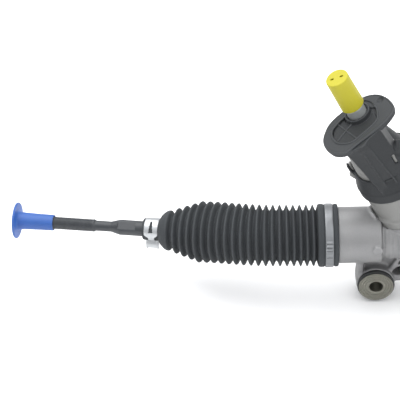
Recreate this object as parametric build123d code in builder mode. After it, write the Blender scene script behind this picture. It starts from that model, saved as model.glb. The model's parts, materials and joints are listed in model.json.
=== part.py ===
"""Rack and pinion steering gear with tie rods, bellows, mounting bushes and pinion tower.

Frame, in millimetres: the origin is the centre of the pinion-side mounting bush, +X runs along
the rack, +Y points away from the side that the bushes are bolted from, and +Z is up towards the
tower. The rack's axis is level, straight above the origin.
"""

import os
from math import acos, cos, pi, radians, sin, tan

from build123d import *

# ---------------------------------------------------------------- driving dimensions
# layout
RACK_HEIGHT = 60.0  # rack axis above the mounting bush axis
MOUNT_SPACING = 360.0  # between the two mounting bushes
NEAR_BALL_REACH = 124.0  # from the pinion-side bush out to its inner ball, along the rack
FAR_BALL_REACH = 156.0  # from the far bush out to its inner ball
PINION_X = 52.9  # where the pinion axis crosses the height of the rack axis
PINION_TILT = 24.0  # lean of the pinion axis towards the left, degrees
TRAVEL = 60.0  # rack stroke each way
STOP_GAP = 0.5  # left over at the end of the stroke

# toothing
MODULE = 1.9
PINION_TEETH = 7
PRESSURE_ANGLE = 25.0
PROFILE_SHIFT = 0.4
PINION_ADDENDUM = 2.25
RACK_ADDENDUM = 1.71
TIP_CLEARANCE = 0.35
BACKLASH = 0.08
RACK_TEETH = 25
TOOTHED_LEFT = 64.0  # first rack tooth from the pinion axis

# rack bar and its bearings
BAR_R = 13.0
TOOTH_TIP_Y = 9.5  # tooth tips from the bar's axis
BAR_STUD_R = 8.0
RUNNING_GAP = 0.05
FIT_GAP = 0.05
SOFT_GAP = 0.3
EDGE = 1.0  # chamfer on turned ends
OVERCUT = 1.0  # how far a cut runs past the face it opens
RACK_BUSH_LENGTH = 20.0
RACK_BUSH_INSET = 2.0  # behind the stop

# casting
CAST_EDGE = 1.5
TUBE_R = 21.5
TUBE_BORE_R = 17.0
CASING_R = 26.5
CASING_LENGTH = 92.0
NECK_R = 31.0
NECK_END = 62.0  # from the ball-side face of the neck to the bush axis
NECK_INNER = 6.0
SPIGOT_R = 30.4
SPIGOT_LENGTH = 20.0
STOP_BORE_R = 23.0
CASING_SHOULDER = 8.0  # length of the cone from the casing down to the tube
FAR_SHOULDER = 10.0
FAR_SHOULDER_R = 27.0
PINION_BARREL_R = 25.0
PLUG_SEAT = 3.0  # the end plug's bore is this much wider than the bearing's
PINION_BARREL_DEPTH = 47.0
TOWER_SEAT = 35.0  # height of the tower joint along the pinion axis
TOWER_SEAT_R = 41.0
TOWER_SEAT_THICKNESS = 13.0
YOKE_BOSS_R = 20.0
YOKE_BOSS_FACE = 44.0

# mounting ears and bushes
EAR_R = 21.5
EAR_FRONT = -14.0
EAR_BACK = 18.0
BUSH_OUTER_R = 17.5
SLEEVE_R = 12.0
SLEEVE_HEAD_R = 19.6
SLEEVE_HEAD = 1.5
SLEEVE_EDGE = 0.8
SLEEVE_LENGTH = 42.0
RUBBER_LIP_R = 19.2
MOUNT_BORE_R = 7.25
RIB_FRONT = -9.0
RIB_BACK = 9.0
RIB = 5.0
EAR_WALL = 6.5  # the upright rib flush with the ear
WEB_PLATE = 7.0
WEB_UNDER = 2.0  # lower edge of the web under the bush axis
WEB_CORNER = 18.0  # height at which the web's outer edge starts
WEB_SLOPE = 20.0  # length of the slanted lower corner
NEAR_WEB = 74.0  # from the bush axis to the web's outer edge
FAR_WEB = 44.0
STRUT_FOOT = (13.0, 11.0)  # sloping rib, from the bush axis
STRUT_HEAD = 36.0
WINDOW_X = 31.0
WINDOW_Z = 13.5
WINDOW_LENGTH = 19.0
WINDOW_WIDTH = 11.0
WINDOW_TURN = 25.0

# tower
TOWER_R = 39.0
TOWER_SHOULDER = 100.0  # where the straight part ends and the taper starts
TOWER_TOP = 146.0
TOWER_TOP_R = 34.5
TOWER_WALL = 4.0
TOWER_FOOT = 9.0
TOWER_NOSE_R = 16.0
TOWER_NOSE_TOP = 158.0
TOWER_CORNER = 4.0
TOWER_SEAT_EDGE = 2.0
TOWER_SCREWS = (25.0, 95.0, -65.0)  # round the pinion axis, degrees
TOWER_LUG_R = 8.0
TOWER_LUG_OUT = 3.6  # lug centres beyond the seat's edge
SCREW_R = 3.0
SCREW_HEAD_R = 5.0
SCREW_HEAD = 5.0
SCREW_GRIP = 12.0
SCREW_SOCKET_R = 2.3

# cover
COVER_WALL = 2.5
COVER_GAP = 0.3
COLLAR_BOTTOM = 78.0
COLLAR_RIM = 90.0  # height where the collar starts to draw in
COLLAR_TOP = 107.0
COLLAR_TOP_WALL = 1.4
COLLAR_BEAD = 6.0
COLLAR_BEAD_OUT = 1.0
TRUNK_BOTTOM = 84.0
# corners of the trunk at its bottom and under the flange, to the right of and behind the pinion axis
TRUNK_LOW = (
    (-8.7, -39.3), (-2.6, -35.2), (11.2, -34.5), (26.5, -31),
    (26, -8), (14, 8), (-16, 8), (-20, -20),
)
TRUNK_HIGH = (
    (-19.8, -49.2), (-2.1, -50.6), (5.5, -48.7), (24, -36),
    (20, -8), (14, 8), (-22, 6), (-27, -26),
)
FLANGE_TOP = 180.0
FLANGE_THICKNESS = 4.5
FLANGE_LENGTH = 99.0
FLANGE_WIDTH = 60.0
FLANGE_LEFT = 1.0  # centre of the oval from the pinion axis
FLANGE_FORWARD = 16.0
FLANGE_TURN = 40.0
FLANGE_HOLE_R = 10.8
FLANGE_LIP_R = 17.0
FLANGE_LIP = 3.0
RECESS_DEPTH = 2.2
RECESS_RIB = 2.0
RECESS_RIB_LENGTH = 50.0
RECESS_LEFT = 20.0  # where the two ribs cross, from the pinion axis
RECESS_FORWARD = 30.0
RECESS_RIB_TURN = 50.0
RECESS_RIM_LONG = 14.0
RECESS_RIM_SHORT = 12.0
WING_START = 20.0  # the wing runs along the rack, in the housing's own directions
WING_REACH = 82.0
WING_FRONT = 21.0
WING_BACK = 5.0
WING_CORNER = 6.0
WING_BOTTOM = 166.0
WING_TOP = 197.0

# pinion, its bearings and seals
UPPER_BEARING_R = 17.5
UPPER_BEARING_BORE_R = 8.5
UPPER_BEARING_WIDTH = 10.0
UPPER_BEARING_BASE = 21.0
BEARING_BALL_R = 3.0
BEARING_BALLS = 9
BEARING_LEDGE = 3.0  # housing ledges over and under the outer race
PINION_CHAMBER = 3.5  # room round the pinion beyond the upper journal
PINION_SHOULDER = 3.0
PINION_SHOULDER_OUT = 2.0
TOOTH_RUNOUT = 2.0
TOOTH_SINK = 0.6
FLANK_POINTS = 6
LOWER_JOURNAL_R = 7.0
NEEDLE_R = 1.5
NEEDLES = 12
LOWER_BEARING_BASE = -38.0
LOWER_BEARING_WIDTH = 14.0
CUP_WALL = 1.2
NEEDLE_END_GAP = 0.3
SEAL_WIDTH = 6.0
SEAL_LIP = 3.0
SEAL_WALL = 1.5
NOSE_WALL = 2.0
SHAFT_R = 9.5
SHAFT_TOP = 232.0
SHAFT_SPLIT = 62.0
SHAFT_JOINT_GAP = 1.0
TORSION_BAR_R = 3.0
SPLINE_BOTTOM = 186.0
SPLINES = 20
SPLINE_DEPTH = 0.3
CLAMP_GROOVE = 191.0
CLAMP_GROOVE_R = 2.0
END_PLUG = 5.0
CIRCLIP = 1.6
ROTOR_R = 15.0
ROTOR_BASE = 70.0
ROTOR_LENGTH = 16.0
BAR_INSET = 2.0
STATOR_GAP = 0.8
STATOR_SKIRT = 2.5

# yoke
YOKE_R = 14.0
YOKE_LENGTH = 17.0
LINER = 1.2
YOKE_LASH = 0.05  # between the liner and the rack
YOKE_NOSE = 4.5  # start of the yoke from the rack axis
SPRING_POCKET = 6.0
SPRING_POCKET_GAP = 2.0
LINER_INSET = 2.0
LINER_START = 5.85
SPRING_R = 8.0
SPRING_WIRE_R = 1.4
SPRING_COILS = 3.0
SPRING_SPACE = 11.0
PLUG_LENGTH = 9.0
PLUG_HEX = 17.0
PLUG_HEX_DEPTH = 5.0
PLUG_PROUD = 1.0
LOCK_NUT = 6.0

# inner ball joints and tie rods
ROD_YAW = 15.7  # tie rod swung towards +Y, degrees
ROD_DROOP = 7.2  # tie rod hanging below level, degrees
BALL_R = 14.0
SEAT_WALL = 2.4
SOCKET_R = 19.0
SOCKET_BACK = 26.0
SOCKET_FACE = 11.5
MOUTH_ANGLE = 52.0
NECK_ROD_R = 6.5
NECK_ROD_END = 36.4
ROD_START = 44.8
ROD_R = 7.5
BOOT_SEAT_R = 8.2
WASHER_R = 18.0
WASHER = 2.0
STUD_LENGTH = 10.0
SOCKET_EDGE = 2.5
SOCKET_EDGE_LENGTH = 4.0
SOCKET_FLATS = 37.0
SOCKET_FLATS_LENGTH = 12.0
STUD_BORE_FLOOR = 9.0  # bottom of the stud's bore from the socket's back
SEAT_INSET = 3.0
SEAT_MOUTH = 3.0  # the seat's mouth opens this many degrees wider
BODY_R = 8.5
BODY_START = 134.7
BODY_END = 162.4
SHANK_R = 5.75
THREAD_START = 190.6
THREAD_END = 262.0
THREAD_R = 7.0
FLATS = 14.0
FLATS_LENGTH = 16.6
BODY_TAPER = 10.0
SEAT_RUN = 8.0  # from the start of the seat's cone to the small cuff
SEAT_CONE = 2.0

# bellows
CUFF_WALL = 3.4
FOLD_OUTER_R = 34.2
FOLD_OUTER_SMALL_R = 23.0
FOLD_TAPER_START = 0.62
FOLDS = 21
FOLDS_START = 3.0  # past the open end of the casting
FOLD_DEPTH = 7.0
BELLOWS_WALL = 1.3
FOLD_TAPER_POWER = 1.3
BEND_BEFORE = 43.4  # the centre line bends from here inside the ball joint
BEND_AFTER = 62.7
SMALL_CUFF_START = 114.0
SMALL_CUFF_END = 133.0
SMALL_CUFF_R = 11.6
BIG_CLAMP = 8.4
BIG_CLAMP_WALL = 1.0
CRIMP_WIDTH = 3.0
CRIMP_LENGTH = 9.0
CRIMP_ANGLE = 204.0
SMALL_CLAMP = 11.0
SMALL_CLAMP_WALL = 1.1
SMALL_CLAMP_SHIFT = 1.0
CLAMP_LUG = 1.6
CLAMP_LUG_REACH = 5.0

# protective caps
ROD_CAP_START = 238.0
ROD_CAP_END = 281.0
ROD_CAP_WALL = 0.7
ROD_CAP_PLAY = 0.85  # round the thread
ROD_CAP_STEP_R = 5.0  # the cap stands on the thread's end outside this radius
ROD_CAP_DISC_R = 19.5
ROD_CAP_DISC = 2.0
ROD_CAP_FLARE = 1.0
SHAFT_CAP_BOTTOM = 193.7
SHAFT_CAP_TOP = 237.7
SHAFT_CAP_R = 13.4
SHAFT_CAP_PLAY = 0.75  # round the shaft
SHAFT_CAP_STEP_R = 7.8
SHAFT_CAP_LID = 2.0
SHAFT_CAP_EDGE = 1.2
VENT_LENGTH = 3.6
VENT_WIDTH = 1.8
VENT_SPACING = 11.0

# ---------------------------------------------------------------- derived geometry
BALL_SPAN = NEAR_BALL_REACH + MOUNT_SPACING + FAR_BALL_REACH
CENTRE_X = BALL_SPAN / 2 - NEAR_BALL_REACH
ALONG = Vector(1, 0, 0)
FRONT = Vector(0, -1, 0)
UP = Vector(0, 0, 1)

TILT = radians(PINION_TILT)
PINION_AXIS = Vector(-sin(TILT), 0, cos(TILT))
PITCH_R = MODULE * PINION_TEETH / 2
BASE_R = PITCH_R * cos(radians(PRESSURE_ANGLE))
PINION_TIP_R = PITCH_R + PINION_ADDENDUM
RACK_LINE_Y = TOOTH_TIP_Y - RACK_ADDENDUM
PINION_Y = RACK_LINE_Y + PITCH_R + PROFILE_SHIFT * MODULE
RACK_DEDENDUM = PINION_TIP_R + TIP_CLEARANCE - (PINION_Y - RACK_LINE_Y)
PINION_CHAMBER_R = UPPER_BEARING_BORE_R + PINION_CHAMBER
NEEDLE_TRACK_R = LOWER_JOURNAL_R + 2 * NEEDLE_R + RUNNING_GAP
CUP_BORE_R = NEEDLE_TRACK_R + CUP_WALL
PLUG_BORE_R = CUP_BORE_R + PLUG_SEAT
YOKE_BASE = Vector(PINION_X, 0, RACK_HEIGHT)
YOKE_BACK = BAR_R + YOKE_LENGTH
PINION_ROOT_R = PINION_Y - TOOTH_TIP_Y - TIP_CLEARANCE
PINION_ORIGIN = Vector(PINION_X, PINION_Y, RACK_HEIGHT)
TOWER_PLANE = Plane(origin=PINION_ORIGIN, x_dir=Vector(cos(TILT), 0, sin(TILT)), z_dir=PINION_AXIS)

CAVITY_R = BALL_R + RUNNING_GAP + SEAT_WALL + FIT_GAP
BAR_END = SOCKET_BACK + WASHER  # from the ball centre to the bar's shoulder
STOP_FACE = BAR_END + TRAVEL + STOP_GAP  # from the ball centre to the casting's stop
NECK_FACE = NEAR_BALL_REACH - NECK_END  # from the ball centre to the neck's open end
CUFF_R = SPIGOT_R + FIT_GAP + CUFF_WALL
HEAD_FACE = -SLEEVE_LENGTH / 2
SIDES = {"left": -1, "right": 1}


def ball_centre(side):
    """Centre of the inner ball joint on one side."""
    return Vector(CENTRE_X + SIDES[side] * BALL_SPAN / 2, 0, RACK_HEIGHT)


def outward(side):
    """Unit vector along the rack, away from the middle."""
    return Vector(SIDES[side], 0, 0)


def rod_direction(side):
    """Unit vector along the tie rod, away from its ball."""
    level = cos(radians(ROD_DROOP))
    yaw = radians(ROD_YAW)
    return Vector(SIDES[side] * cos(yaw) * level, sin(yaw) * level, -sin(radians(ROD_DROOP)))


def section_plane(origin, direction):
    """Plane through a line: its x runs along the line and its y is the radius."""
    sideways = UP.cross(direction) if abs(direction.Z) < 0.9 else Vector(0, 1, 0)
    return Plane(origin=origin, x_dir=direction, z_dir=sideways)


def turn(outline, origin, direction, mode=Mode.ADD):
    """Revolve a closed outline of (distance along, radius) points about a line."""
    with BuildSketch(section_plane(origin, direction)) as section:
        with BuildLine():
            Polyline(*outline, close=True)
        make_face()
    revolve(section.sketch, axis=Axis(origin, direction), mode=mode)


def ring(start, end, outer, inner, origin, direction):
    """A plain ring between two distances along a line."""
    turn([(start, inner), (end, inner), (end, outer), (start, outer)], origin, direction)


def rod(start, end, radius, origin, direction, mode=Mode.ADD):
    """A plain cylinder between two distances along a line."""
    turn([(start, 0), (end, 0), (end, radius), (start, radius)], origin, direction, mode)


def tower_section(height):
    """Plane across the pinion axis at a height along it."""
    return TOWER_PLANE.offset(height)


def turned_section(height, angle):
    """Plane across the pinion axis with its x turned round that axis."""
    flat = tower_section(height)
    x_dir = flat.x_dir * cos(radians(angle)) + flat.y_dir * sin(radians(angle))
    return Plane(origin=flat.origin, x_dir=x_dir, z_dir=PINION_AXIS)


def save(part, label):
    """Label a finished piece and write it."""
    part.label = label
    export_step(part, f"parts/{label}.step")


# ---------------------------------------------------------------- casting
def neck(side):
    """The wide end of the casting that carries the bellows, about the rack's axis."""
    start = NECK_FACE
    end = NEAR_BALL_REACH + NECK_INNER
    outline = [
        (-start, 0),
        (-start, SPIGOT_R - EDGE),
        (-start - EDGE, SPIGOT_R),
        (-start - SPIGOT_LENGTH, SPIGOT_R),
        (-start - SPIGOT_LENGTH, NECK_R),
        (-end + CAST_EDGE, NECK_R),
        (-end, NECK_R - CAST_EDGE),
        (-end, 0),
    ]
    turn(outline, ball_centre(side), outward(side))


def end_bore(side):
    """The counterbore that takes the socket at the end of the stroke."""
    rod(-STOP_FACE, 0, STOP_BORE_R, ball_centre(side), outward(side), Mode.SUBTRACT)


def ear(centre_x, web_reach):
    """One mounting ear: a round boss under the tube, and the webs and ribs up to it."""
    with BuildSketch(Plane.XZ.offset(-EAR_BACK)) as boss:
        with Locations((centre_x, 0)):
            Circle(EAR_R)
    extrude(boss.sketch, amount=EAR_BACK - EAR_FRONT)
    top = RACK_HEIGHT - TUBE_R / 2
    corner = (centre_x + web_reach, WEB_CORNER)
    foot = (centre_x + web_reach - WEB_SLOPE, -WEB_UNDER)
    with BuildSketch(Plane.XZ.offset(-WEB_PLATE / 2)) as web:
        with BuildLine():
            Polyline(
                (centre_x - EAR_R, 0),
                (centre_x - EAR_R, top),
                (centre_x + web_reach, top),
                corner,
                foot,
                (centre_x, -WEB_UNDER),
                close=True,
            )
        make_face()
    extrude(web.sketch, amount=WEB_PLATE)
    wall_x = centre_x - EAR_R + EAR_WALL / 2
    rib((wall_x, 0), (wall_x, top), EAR_WALL)
    rib((centre_x + STRUT_FOOT[0], STRUT_FOOT[1]), (centre_x + STRUT_HEAD, top), RIB)
    rib((centre_x, -WEB_UNDER + RIB / 2), (foot[0], -WEB_UNDER + RIB / 2), RIB)
    rib((foot[0] - RIB / 2, foot[1] + RIB / 2), (corner[0] - RIB / 2, corner[1] + RIB / 2), RIB)


def rib(start, end, width):
    """A straight rib of the casting between two (x, z) points."""
    with BuildSketch(Plane.XZ.offset(-RIB_BACK)) as outline:
        with BuildLine():
            Line(start, end)
        trace(line_width=width)
    extrude(outline.sketch, amount=RIB_BACK - RIB_FRONT)


def web_window(centre_x):
    """The oval window through the web beside the ear."""
    with BuildSketch(Plane.XZ.offset(-EAR_BACK)) as window:
        with Locations(Location((centre_x + WINDOW_X, WINDOW_Z), WINDOW_TURN)):
            SlotOverall(WINDOW_LENGTH, WINDOW_WIDTH)
    extrude(window.sketch, amount=EAR_BACK - EAR_FRONT, mode=Mode.SUBTRACT)


def ear_bore(centre_x):
    """The bore that the bush is pressed into."""
    axis_start = Vector(centre_x, EAR_BACK, 0)
    length = EAR_BACK - EAR_FRONT + OVERCUT
    rod(-OVERCUT, length, BUSH_OUTER_R, axis_start, FRONT, Mode.SUBTRACT)


def tower_lugs(bottom, top, mode=Mode.ADD, radius=TOWER_LUG_R):
    """Round lugs, or their holes, at the tower's screws between two heights."""
    with BuildSketch(tower_section(bottom)) as lugs:
        for angle in TOWER_SCREWS:
            with Locations(screw_spot(angle)):
                Circle(radius)
    extrude(lugs.sketch, amount=top - bottom, mode=mode)


def screw_spot(angle):
    """Centre of one tower screw in the plane across the pinion axis."""
    reach = TOWER_SEAT_R + TOWER_LUG_OUT
    return (reach * cos(radians(angle)), reach * sin(radians(angle)))


def pinion_bores():
    """The stepped bore for the pinion, its bearings and the plug under them."""
    bottom = -PINION_BARREL_DEPTH
    outline = [
        (bottom - OVERCUT, 0),
        (bottom - OVERCUT, PLUG_BORE_R),
        (bottom + END_PLUG + EDGE, PLUG_BORE_R),
        (bottom + END_PLUG + EDGE, CUP_BORE_R),
        (LOWER_BEARING_BASE + LOWER_BEARING_WIDTH, CUP_BORE_R),
        (LOWER_BEARING_BASE + LOWER_BEARING_WIDTH, PINION_CHAMBER_R),
        (UPPER_BEARING_BASE, PINION_CHAMBER_R),
        (UPPER_BEARING_BASE, UPPER_BEARING_R),
        (TOWER_SEAT + OVERCUT, UPPER_BEARING_R),
        (TOWER_SEAT + OVERCUT, 0),
    ]
    turn(outline, PINION_ORIGIN, PINION_AXIS, Mode.SUBTRACT)


def make_gear_housing():
    """The main casting, from one bellows spigot to the other."""
    middle = ball_centre("left")
    neck_end = NEAR_BALL_REACH + NECK_INNER
    with BuildPart() as gear_housing:
        neck("left")
        neck("right")
        casing_end = neck_end + CASING_LENGTH
        tube_end = BALL_SPAN - neck_end
        outline = [
            (neck_end - OVERCUT, 0),
            (neck_end - OVERCUT, CASING_R),
            (casing_end, CASING_R),
            (casing_end + CASING_SHOULDER, TUBE_R),
            (tube_end - FAR_SHOULDER, TUBE_R),
            (tube_end + OVERCUT, FAR_SHOULDER_R),
            (tube_end + OVERCUT, 0),
        ]
        turn(outline, middle, ALONG)
        ear(0, NEAR_WEB)
        ear(MOUNT_SPACING, FAR_WEB)
        rod(-PINION_BARREL_DEPTH, TOWER_SEAT, PINION_BARREL_R, PINION_ORIGIN, PINION_AXIS)
        base = TOWER_SEAT - TOWER_SEAT_THICKNESS
        flare = [
            (0, 0),
            (0, PINION_BARREL_R),
            (base, TOWER_SEAT_R - TOWER_SEAT_EDGE),
            (TOWER_SEAT - TOWER_SEAT_EDGE, TOWER_SEAT_R),
            (TOWER_SEAT, TOWER_SEAT_R),
            (TOWER_SEAT, 0),
        ]
        turn(flare, PINION_ORIGIN, PINION_AXIS)
        tower_lugs(TOWER_SEAT - TOWER_SEAT_THICKNESS, TOWER_SEAT)
        rod(0, YOKE_BOSS_FACE, YOKE_BOSS_R, YOKE_BASE, FRONT)
        bore_start = STOP_FACE - OVERCUT
        rod(bore_start, BALL_SPAN - bore_start, TUBE_BORE_R, middle, ALONG, Mode.SUBTRACT)
        end_bore("left")
        end_bore("right")
        pinion_bores()
        yoke_end = YOKE_BOSS_FACE + OVERCUT
        rod(0, yoke_end, YOKE_R + RUNNING_GAP, YOKE_BASE, FRONT, Mode.SUBTRACT)
        ear_bore(0)
        ear_bore(MOUNT_SPACING)
        web_window(0)
        web_window(MOUNT_SPACING)
        tower_lugs(TOWER_SEAT - SCREW_GRIP, TOWER_SEAT, Mode.SUBTRACT, SCREW_R)
        relief_top = TOWER_SEAT + 2 * NECK_R
        relief_r = TOWER_SEAT_R + COVER_GAP
        rod(TOWER_SEAT, relief_top, relief_r, PINION_ORIGIN, PINION_AXIS, Mode.SUBTRACT)
    return gear_housing


# ---------------------------------------------------------------- tower
def tower_skin(allowance):
    """Outline of the tower above its foot, grown by an allowance."""
    return [
        (TOWER_SEAT, 0),
        (TOWER_SEAT, TOWER_R + allowance),
        (TOWER_SHOULDER, TOWER_R + allowance),
        (TOWER_TOP - TOWER_CORNER, TOWER_TOP_R + allowance),
        (TOWER_TOP + allowance, TOWER_TOP_R - TOWER_CORNER + allowance),
        (TOWER_TOP + allowance, TOWER_NOSE_R + allowance),
        (TOWER_NOSE_TOP + allowance, TOWER_NOSE_R + allowance),
        (TOWER_NOSE_TOP + allowance, 0),
    ]


def make_tower_housing():
    """The upper casting over the pinion, with the oil seal's seat in its nose."""
    floor = TOWER_SEAT + TOWER_FOOT
    with BuildPart() as tower_housing:
        turn(tower_skin(0), PINION_ORIGIN, PINION_AXIS)
        ring_foot = [
            (TOWER_SEAT, 0),
            (TOWER_SEAT, TOWER_SEAT_R),
            (floor - TOWER_SEAT_EDGE, TOWER_SEAT_R),
            (floor, TOWER_R),
            (floor, 0),
        ]
        turn(ring_foot, PINION_ORIGIN, PINION_AXIS)
        tower_lugs(TOWER_SEAT, floor)
        ceiling = TOWER_TOP - TOWER_WALL
        ledge_r = UPPER_BEARING_R - BEARING_LEDGE
        throat_r = SHAFT_R + SEAL_LIP
        seal_r = TOWER_NOSE_R - NOSE_WALL
        hollow = [
            (TOWER_SEAT - OVERCUT, 0),
            (TOWER_SEAT - OVERCUT, ledge_r),
            (floor, ledge_r),
            (floor, TOWER_R - TOWER_WALL),
            (TOWER_SHOULDER, TOWER_R - TOWER_WALL),
            (ceiling - TOWER_CORNER, TOWER_TOP_R - TOWER_WALL),
            (ceiling, TOWER_TOP_R - TOWER_WALL - TOWER_CORNER),
            (ceiling, throat_r),
            (TOWER_NOSE_TOP - SEAL_WIDTH, throat_r),
            (TOWER_NOSE_TOP - SEAL_WIDTH, seal_r),
            (TOWER_NOSE_TOP + OVERCUT, seal_r),
            (TOWER_NOSE_TOP + OVERCUT, 0),
        ]
        turn(hollow, PINION_ORIGIN, PINION_AXIS, Mode.SUBTRACT)
        tower_lugs(TOWER_SEAT, floor, Mode.SUBTRACT, SCREW_R)
    return tower_housing


def make_tower_screws():
    """Socket head screws that hold the tower down, one solid each."""
    head = TOWER_SEAT + TOWER_FOOT
    with BuildPart() as tower_screws:
        for angle in TOWER_SCREWS:
            spot = TOWER_PLANE.from_local_coords(Vector(*screw_spot(angle), 0))
            outline = [
                (TOWER_SEAT - SCREW_GRIP + EDGE, 0),
                (TOWER_SEAT - SCREW_GRIP + EDGE, SCREW_R - FIT_GAP),
                (head, SCREW_R - FIT_GAP),
                (head, SCREW_HEAD_R),
                (head + SCREW_HEAD, SCREW_HEAD_R),
                (head + SCREW_HEAD, SCREW_SOCKET_R),
                (head + SCREW_HEAD / 2, SCREW_SOCKET_R),
                (head + SCREW_HEAD / 2, 0),
            ]
            turn(outline, spot, PINION_AXIS)
    return tower_screws


# ---------------------------------------------------------------- cover
def trunk_section(height, shrink):
    """Section of the cover's trunk at a height along the pinion axis, smaller by an amount all round."""
    share = (height - TRUNK_BOTTOM) / (FLANGE_TOP - FLANGE_THICKNESS - TRUNK_BOTTOM)
    corners = [Vector(low) * (1 - share) + Vector(high) * share for low, high in zip(TRUNK_LOW, TRUNK_HIGH)]
    with BuildSketch(tower_section(height)) as section:
        with BuildLine():
            Polyline(*corners, close=True)
        make_face()
        if shrink:
            offset(amount=-shrink, kind=Kind.INTERSECTION, mode=Mode.REPLACE)
    return section.sketch


def trunk(bottom, top, shrink, mode=Mode.ADD):
    """The tapered trunk between two heights along the pinion axis."""
    loft([trunk_section(bottom, shrink), trunk_section(top, shrink)], ruled=True, mode=mode)


def flange_section(height, shrink):
    """The cover's oval flange at a height, smaller by an amount all round."""
    with BuildSketch(tower_section(height)) as section:
        with Locations(Location((-FLANGE_LEFT, -FLANGE_FORWARD), FLANGE_TURN)):
            Ellipse(FLANGE_LENGTH / 2 - shrink, FLANGE_WIDTH / 2 - shrink)
    return section.sketch


def wing(shrink, mode=Mode.ADD):
    """The duct that leaves the trunk along the rack for the wiring, smaller by an amount all round."""
    depth, height = WING_FRONT + WING_BACK, WING_TOP - WING_BOTTOM
    with BuildSketch(Plane.YZ.offset(WING_START + shrink)) as section:
        with Locations(((WING_BACK - WING_FRONT) / 2, (WING_TOP + WING_BOTTOM) / 2)):
            RectangleRounded(depth - 2 * shrink, height - 2 * shrink, WING_CORNER - shrink)
    extrude(section.sketch, amount=WING_REACH - WING_START - 2 * shrink, mode=mode)


def recess(height):
    """The sunk field of the flange beside the shaft hole."""
    with BuildSketch(tower_section(height)) as field:
        with Locations(Location((-FLANGE_LEFT, -FLANGE_FORWARD), FLANGE_TURN)):
            Ellipse(FLANGE_LENGTH / 2 - RECESS_RIM_LONG, FLANGE_WIDTH / 2 - RECESS_RIM_SHORT)
        Circle(FLANGE_LIP_R, mode=Mode.SUBTRACT)
        with Locations(Location((-RECESS_LEFT, -RECESS_FORWARD), RECESS_RIB_TURN)):
            Rectangle(RECESS_RIB_LENGTH, RECESS_RIB, mode=Mode.SUBTRACT)
            Rectangle(RECESS_RIB, RECESS_RIB_LENGTH, mode=Mode.SUBTRACT)
    return field.sketch


def make_dust_cover():
    """The black cover: collar round the tower, trunk in front of it, wing and oval flange."""
    under = FLANGE_TOP - FLANGE_THICKNESS
    inner_r = TOWER_R + COVER_GAP
    outer_r = inner_r + COVER_WALL
    with BuildPart() as dust_cover:
        collar = [
            (COLLAR_BOTTOM, 0),
            (COLLAR_BOTTOM, outer_r + COLLAR_BEAD_OUT),
            (COLLAR_BOTTOM + COLLAR_BEAD, outer_r + COLLAR_BEAD_OUT),
            (COLLAR_BOTTOM + COLLAR_BEAD + COLLAR_BEAD_OUT, outer_r),
            (COLLAR_RIM, outer_r),
            (COLLAR_TOP, inner_r + COLLAR_TOP_WALL - SOFT_GAP),
            (COLLAR_TOP, 0),
        ]
        turn(collar, PINION_ORIGIN, PINION_AXIS)
        trunk(TRUNK_BOTTOM, under, 0)
        wing(0)
        extrude(flange_section(under, 0), amount=FLANGE_THICKNESS)
        rod(under, FLANGE_TOP + FLANGE_LIP, FLANGE_LIP_R, PINION_ORIGIN, PINION_AXIS)
        inside = under - COVER_WALL
        trunk(COLLAR_TOP + COVER_WALL, inside, COVER_WALL, Mode.SUBTRACT)
        wing(COVER_WALL, Mode.SUBTRACT)
        turn(tower_skin(COVER_GAP), PINION_ORIGIN, PINION_AXIS, Mode.SUBTRACT)
        lip_top = FLANGE_TOP + FLANGE_LIP + OVERCUT
        rod(TOWER_TOP, lip_top, FLANGE_HOLE_R, PINION_ORIGIN, PINION_AXIS, Mode.SUBTRACT)
        field = recess(FLANGE_TOP - RECESS_DEPTH)
        extrude(field, amount=RECESS_DEPTH + OVERCUT, mode=Mode.SUBTRACT)
    return dust_cover


# ---------------------------------------------------------------- pinion and its bearings
def involute_flank(sign):
    """Points of one flank of the tooth that stands on the x axis, root first."""
    half = pi / PINION_TEETH / 2 + 2 * PROFILE_SHIFT * tan(radians(PRESSURE_ANGLE)) / PINION_TEETH
    half += tan(radians(PRESSURE_ANGLE)) - radians(PRESSURE_ANGLE)
    half -= BACKLASH / 2 / PITCH_R
    points = []
    for step in range(FLANK_POINTS + 1):
        radius = BASE_R + (PINION_TIP_R - BASE_R) * (step / FLANK_POINTS) ** 1.5
        roll = acos(min(1.0, BASE_R / radius))
        angle = half - (tan(roll) - roll)
        points.append((radius * cos(angle), sign * radius * sin(angle)))
    return points


def tooth_section(height, turned):
    """One pinion tooth, down to inside the root circle."""
    lower = involute_flank(-1)
    upper = involute_flank(1)
    inner = PINION_ROOT_R - TOOTH_SINK
    with BuildSketch(turned_section(height, turned)) as tooth:
        with BuildLine():
            Spline(*lower)
            Line(lower[-1], upper[-1])
            Spline(*upper[::-1])
            Polyline(upper[0], (inner, upper[0][1]), (inner, lower[0][1]), lower[0])
        make_face()
    return tooth.sketch


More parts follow.
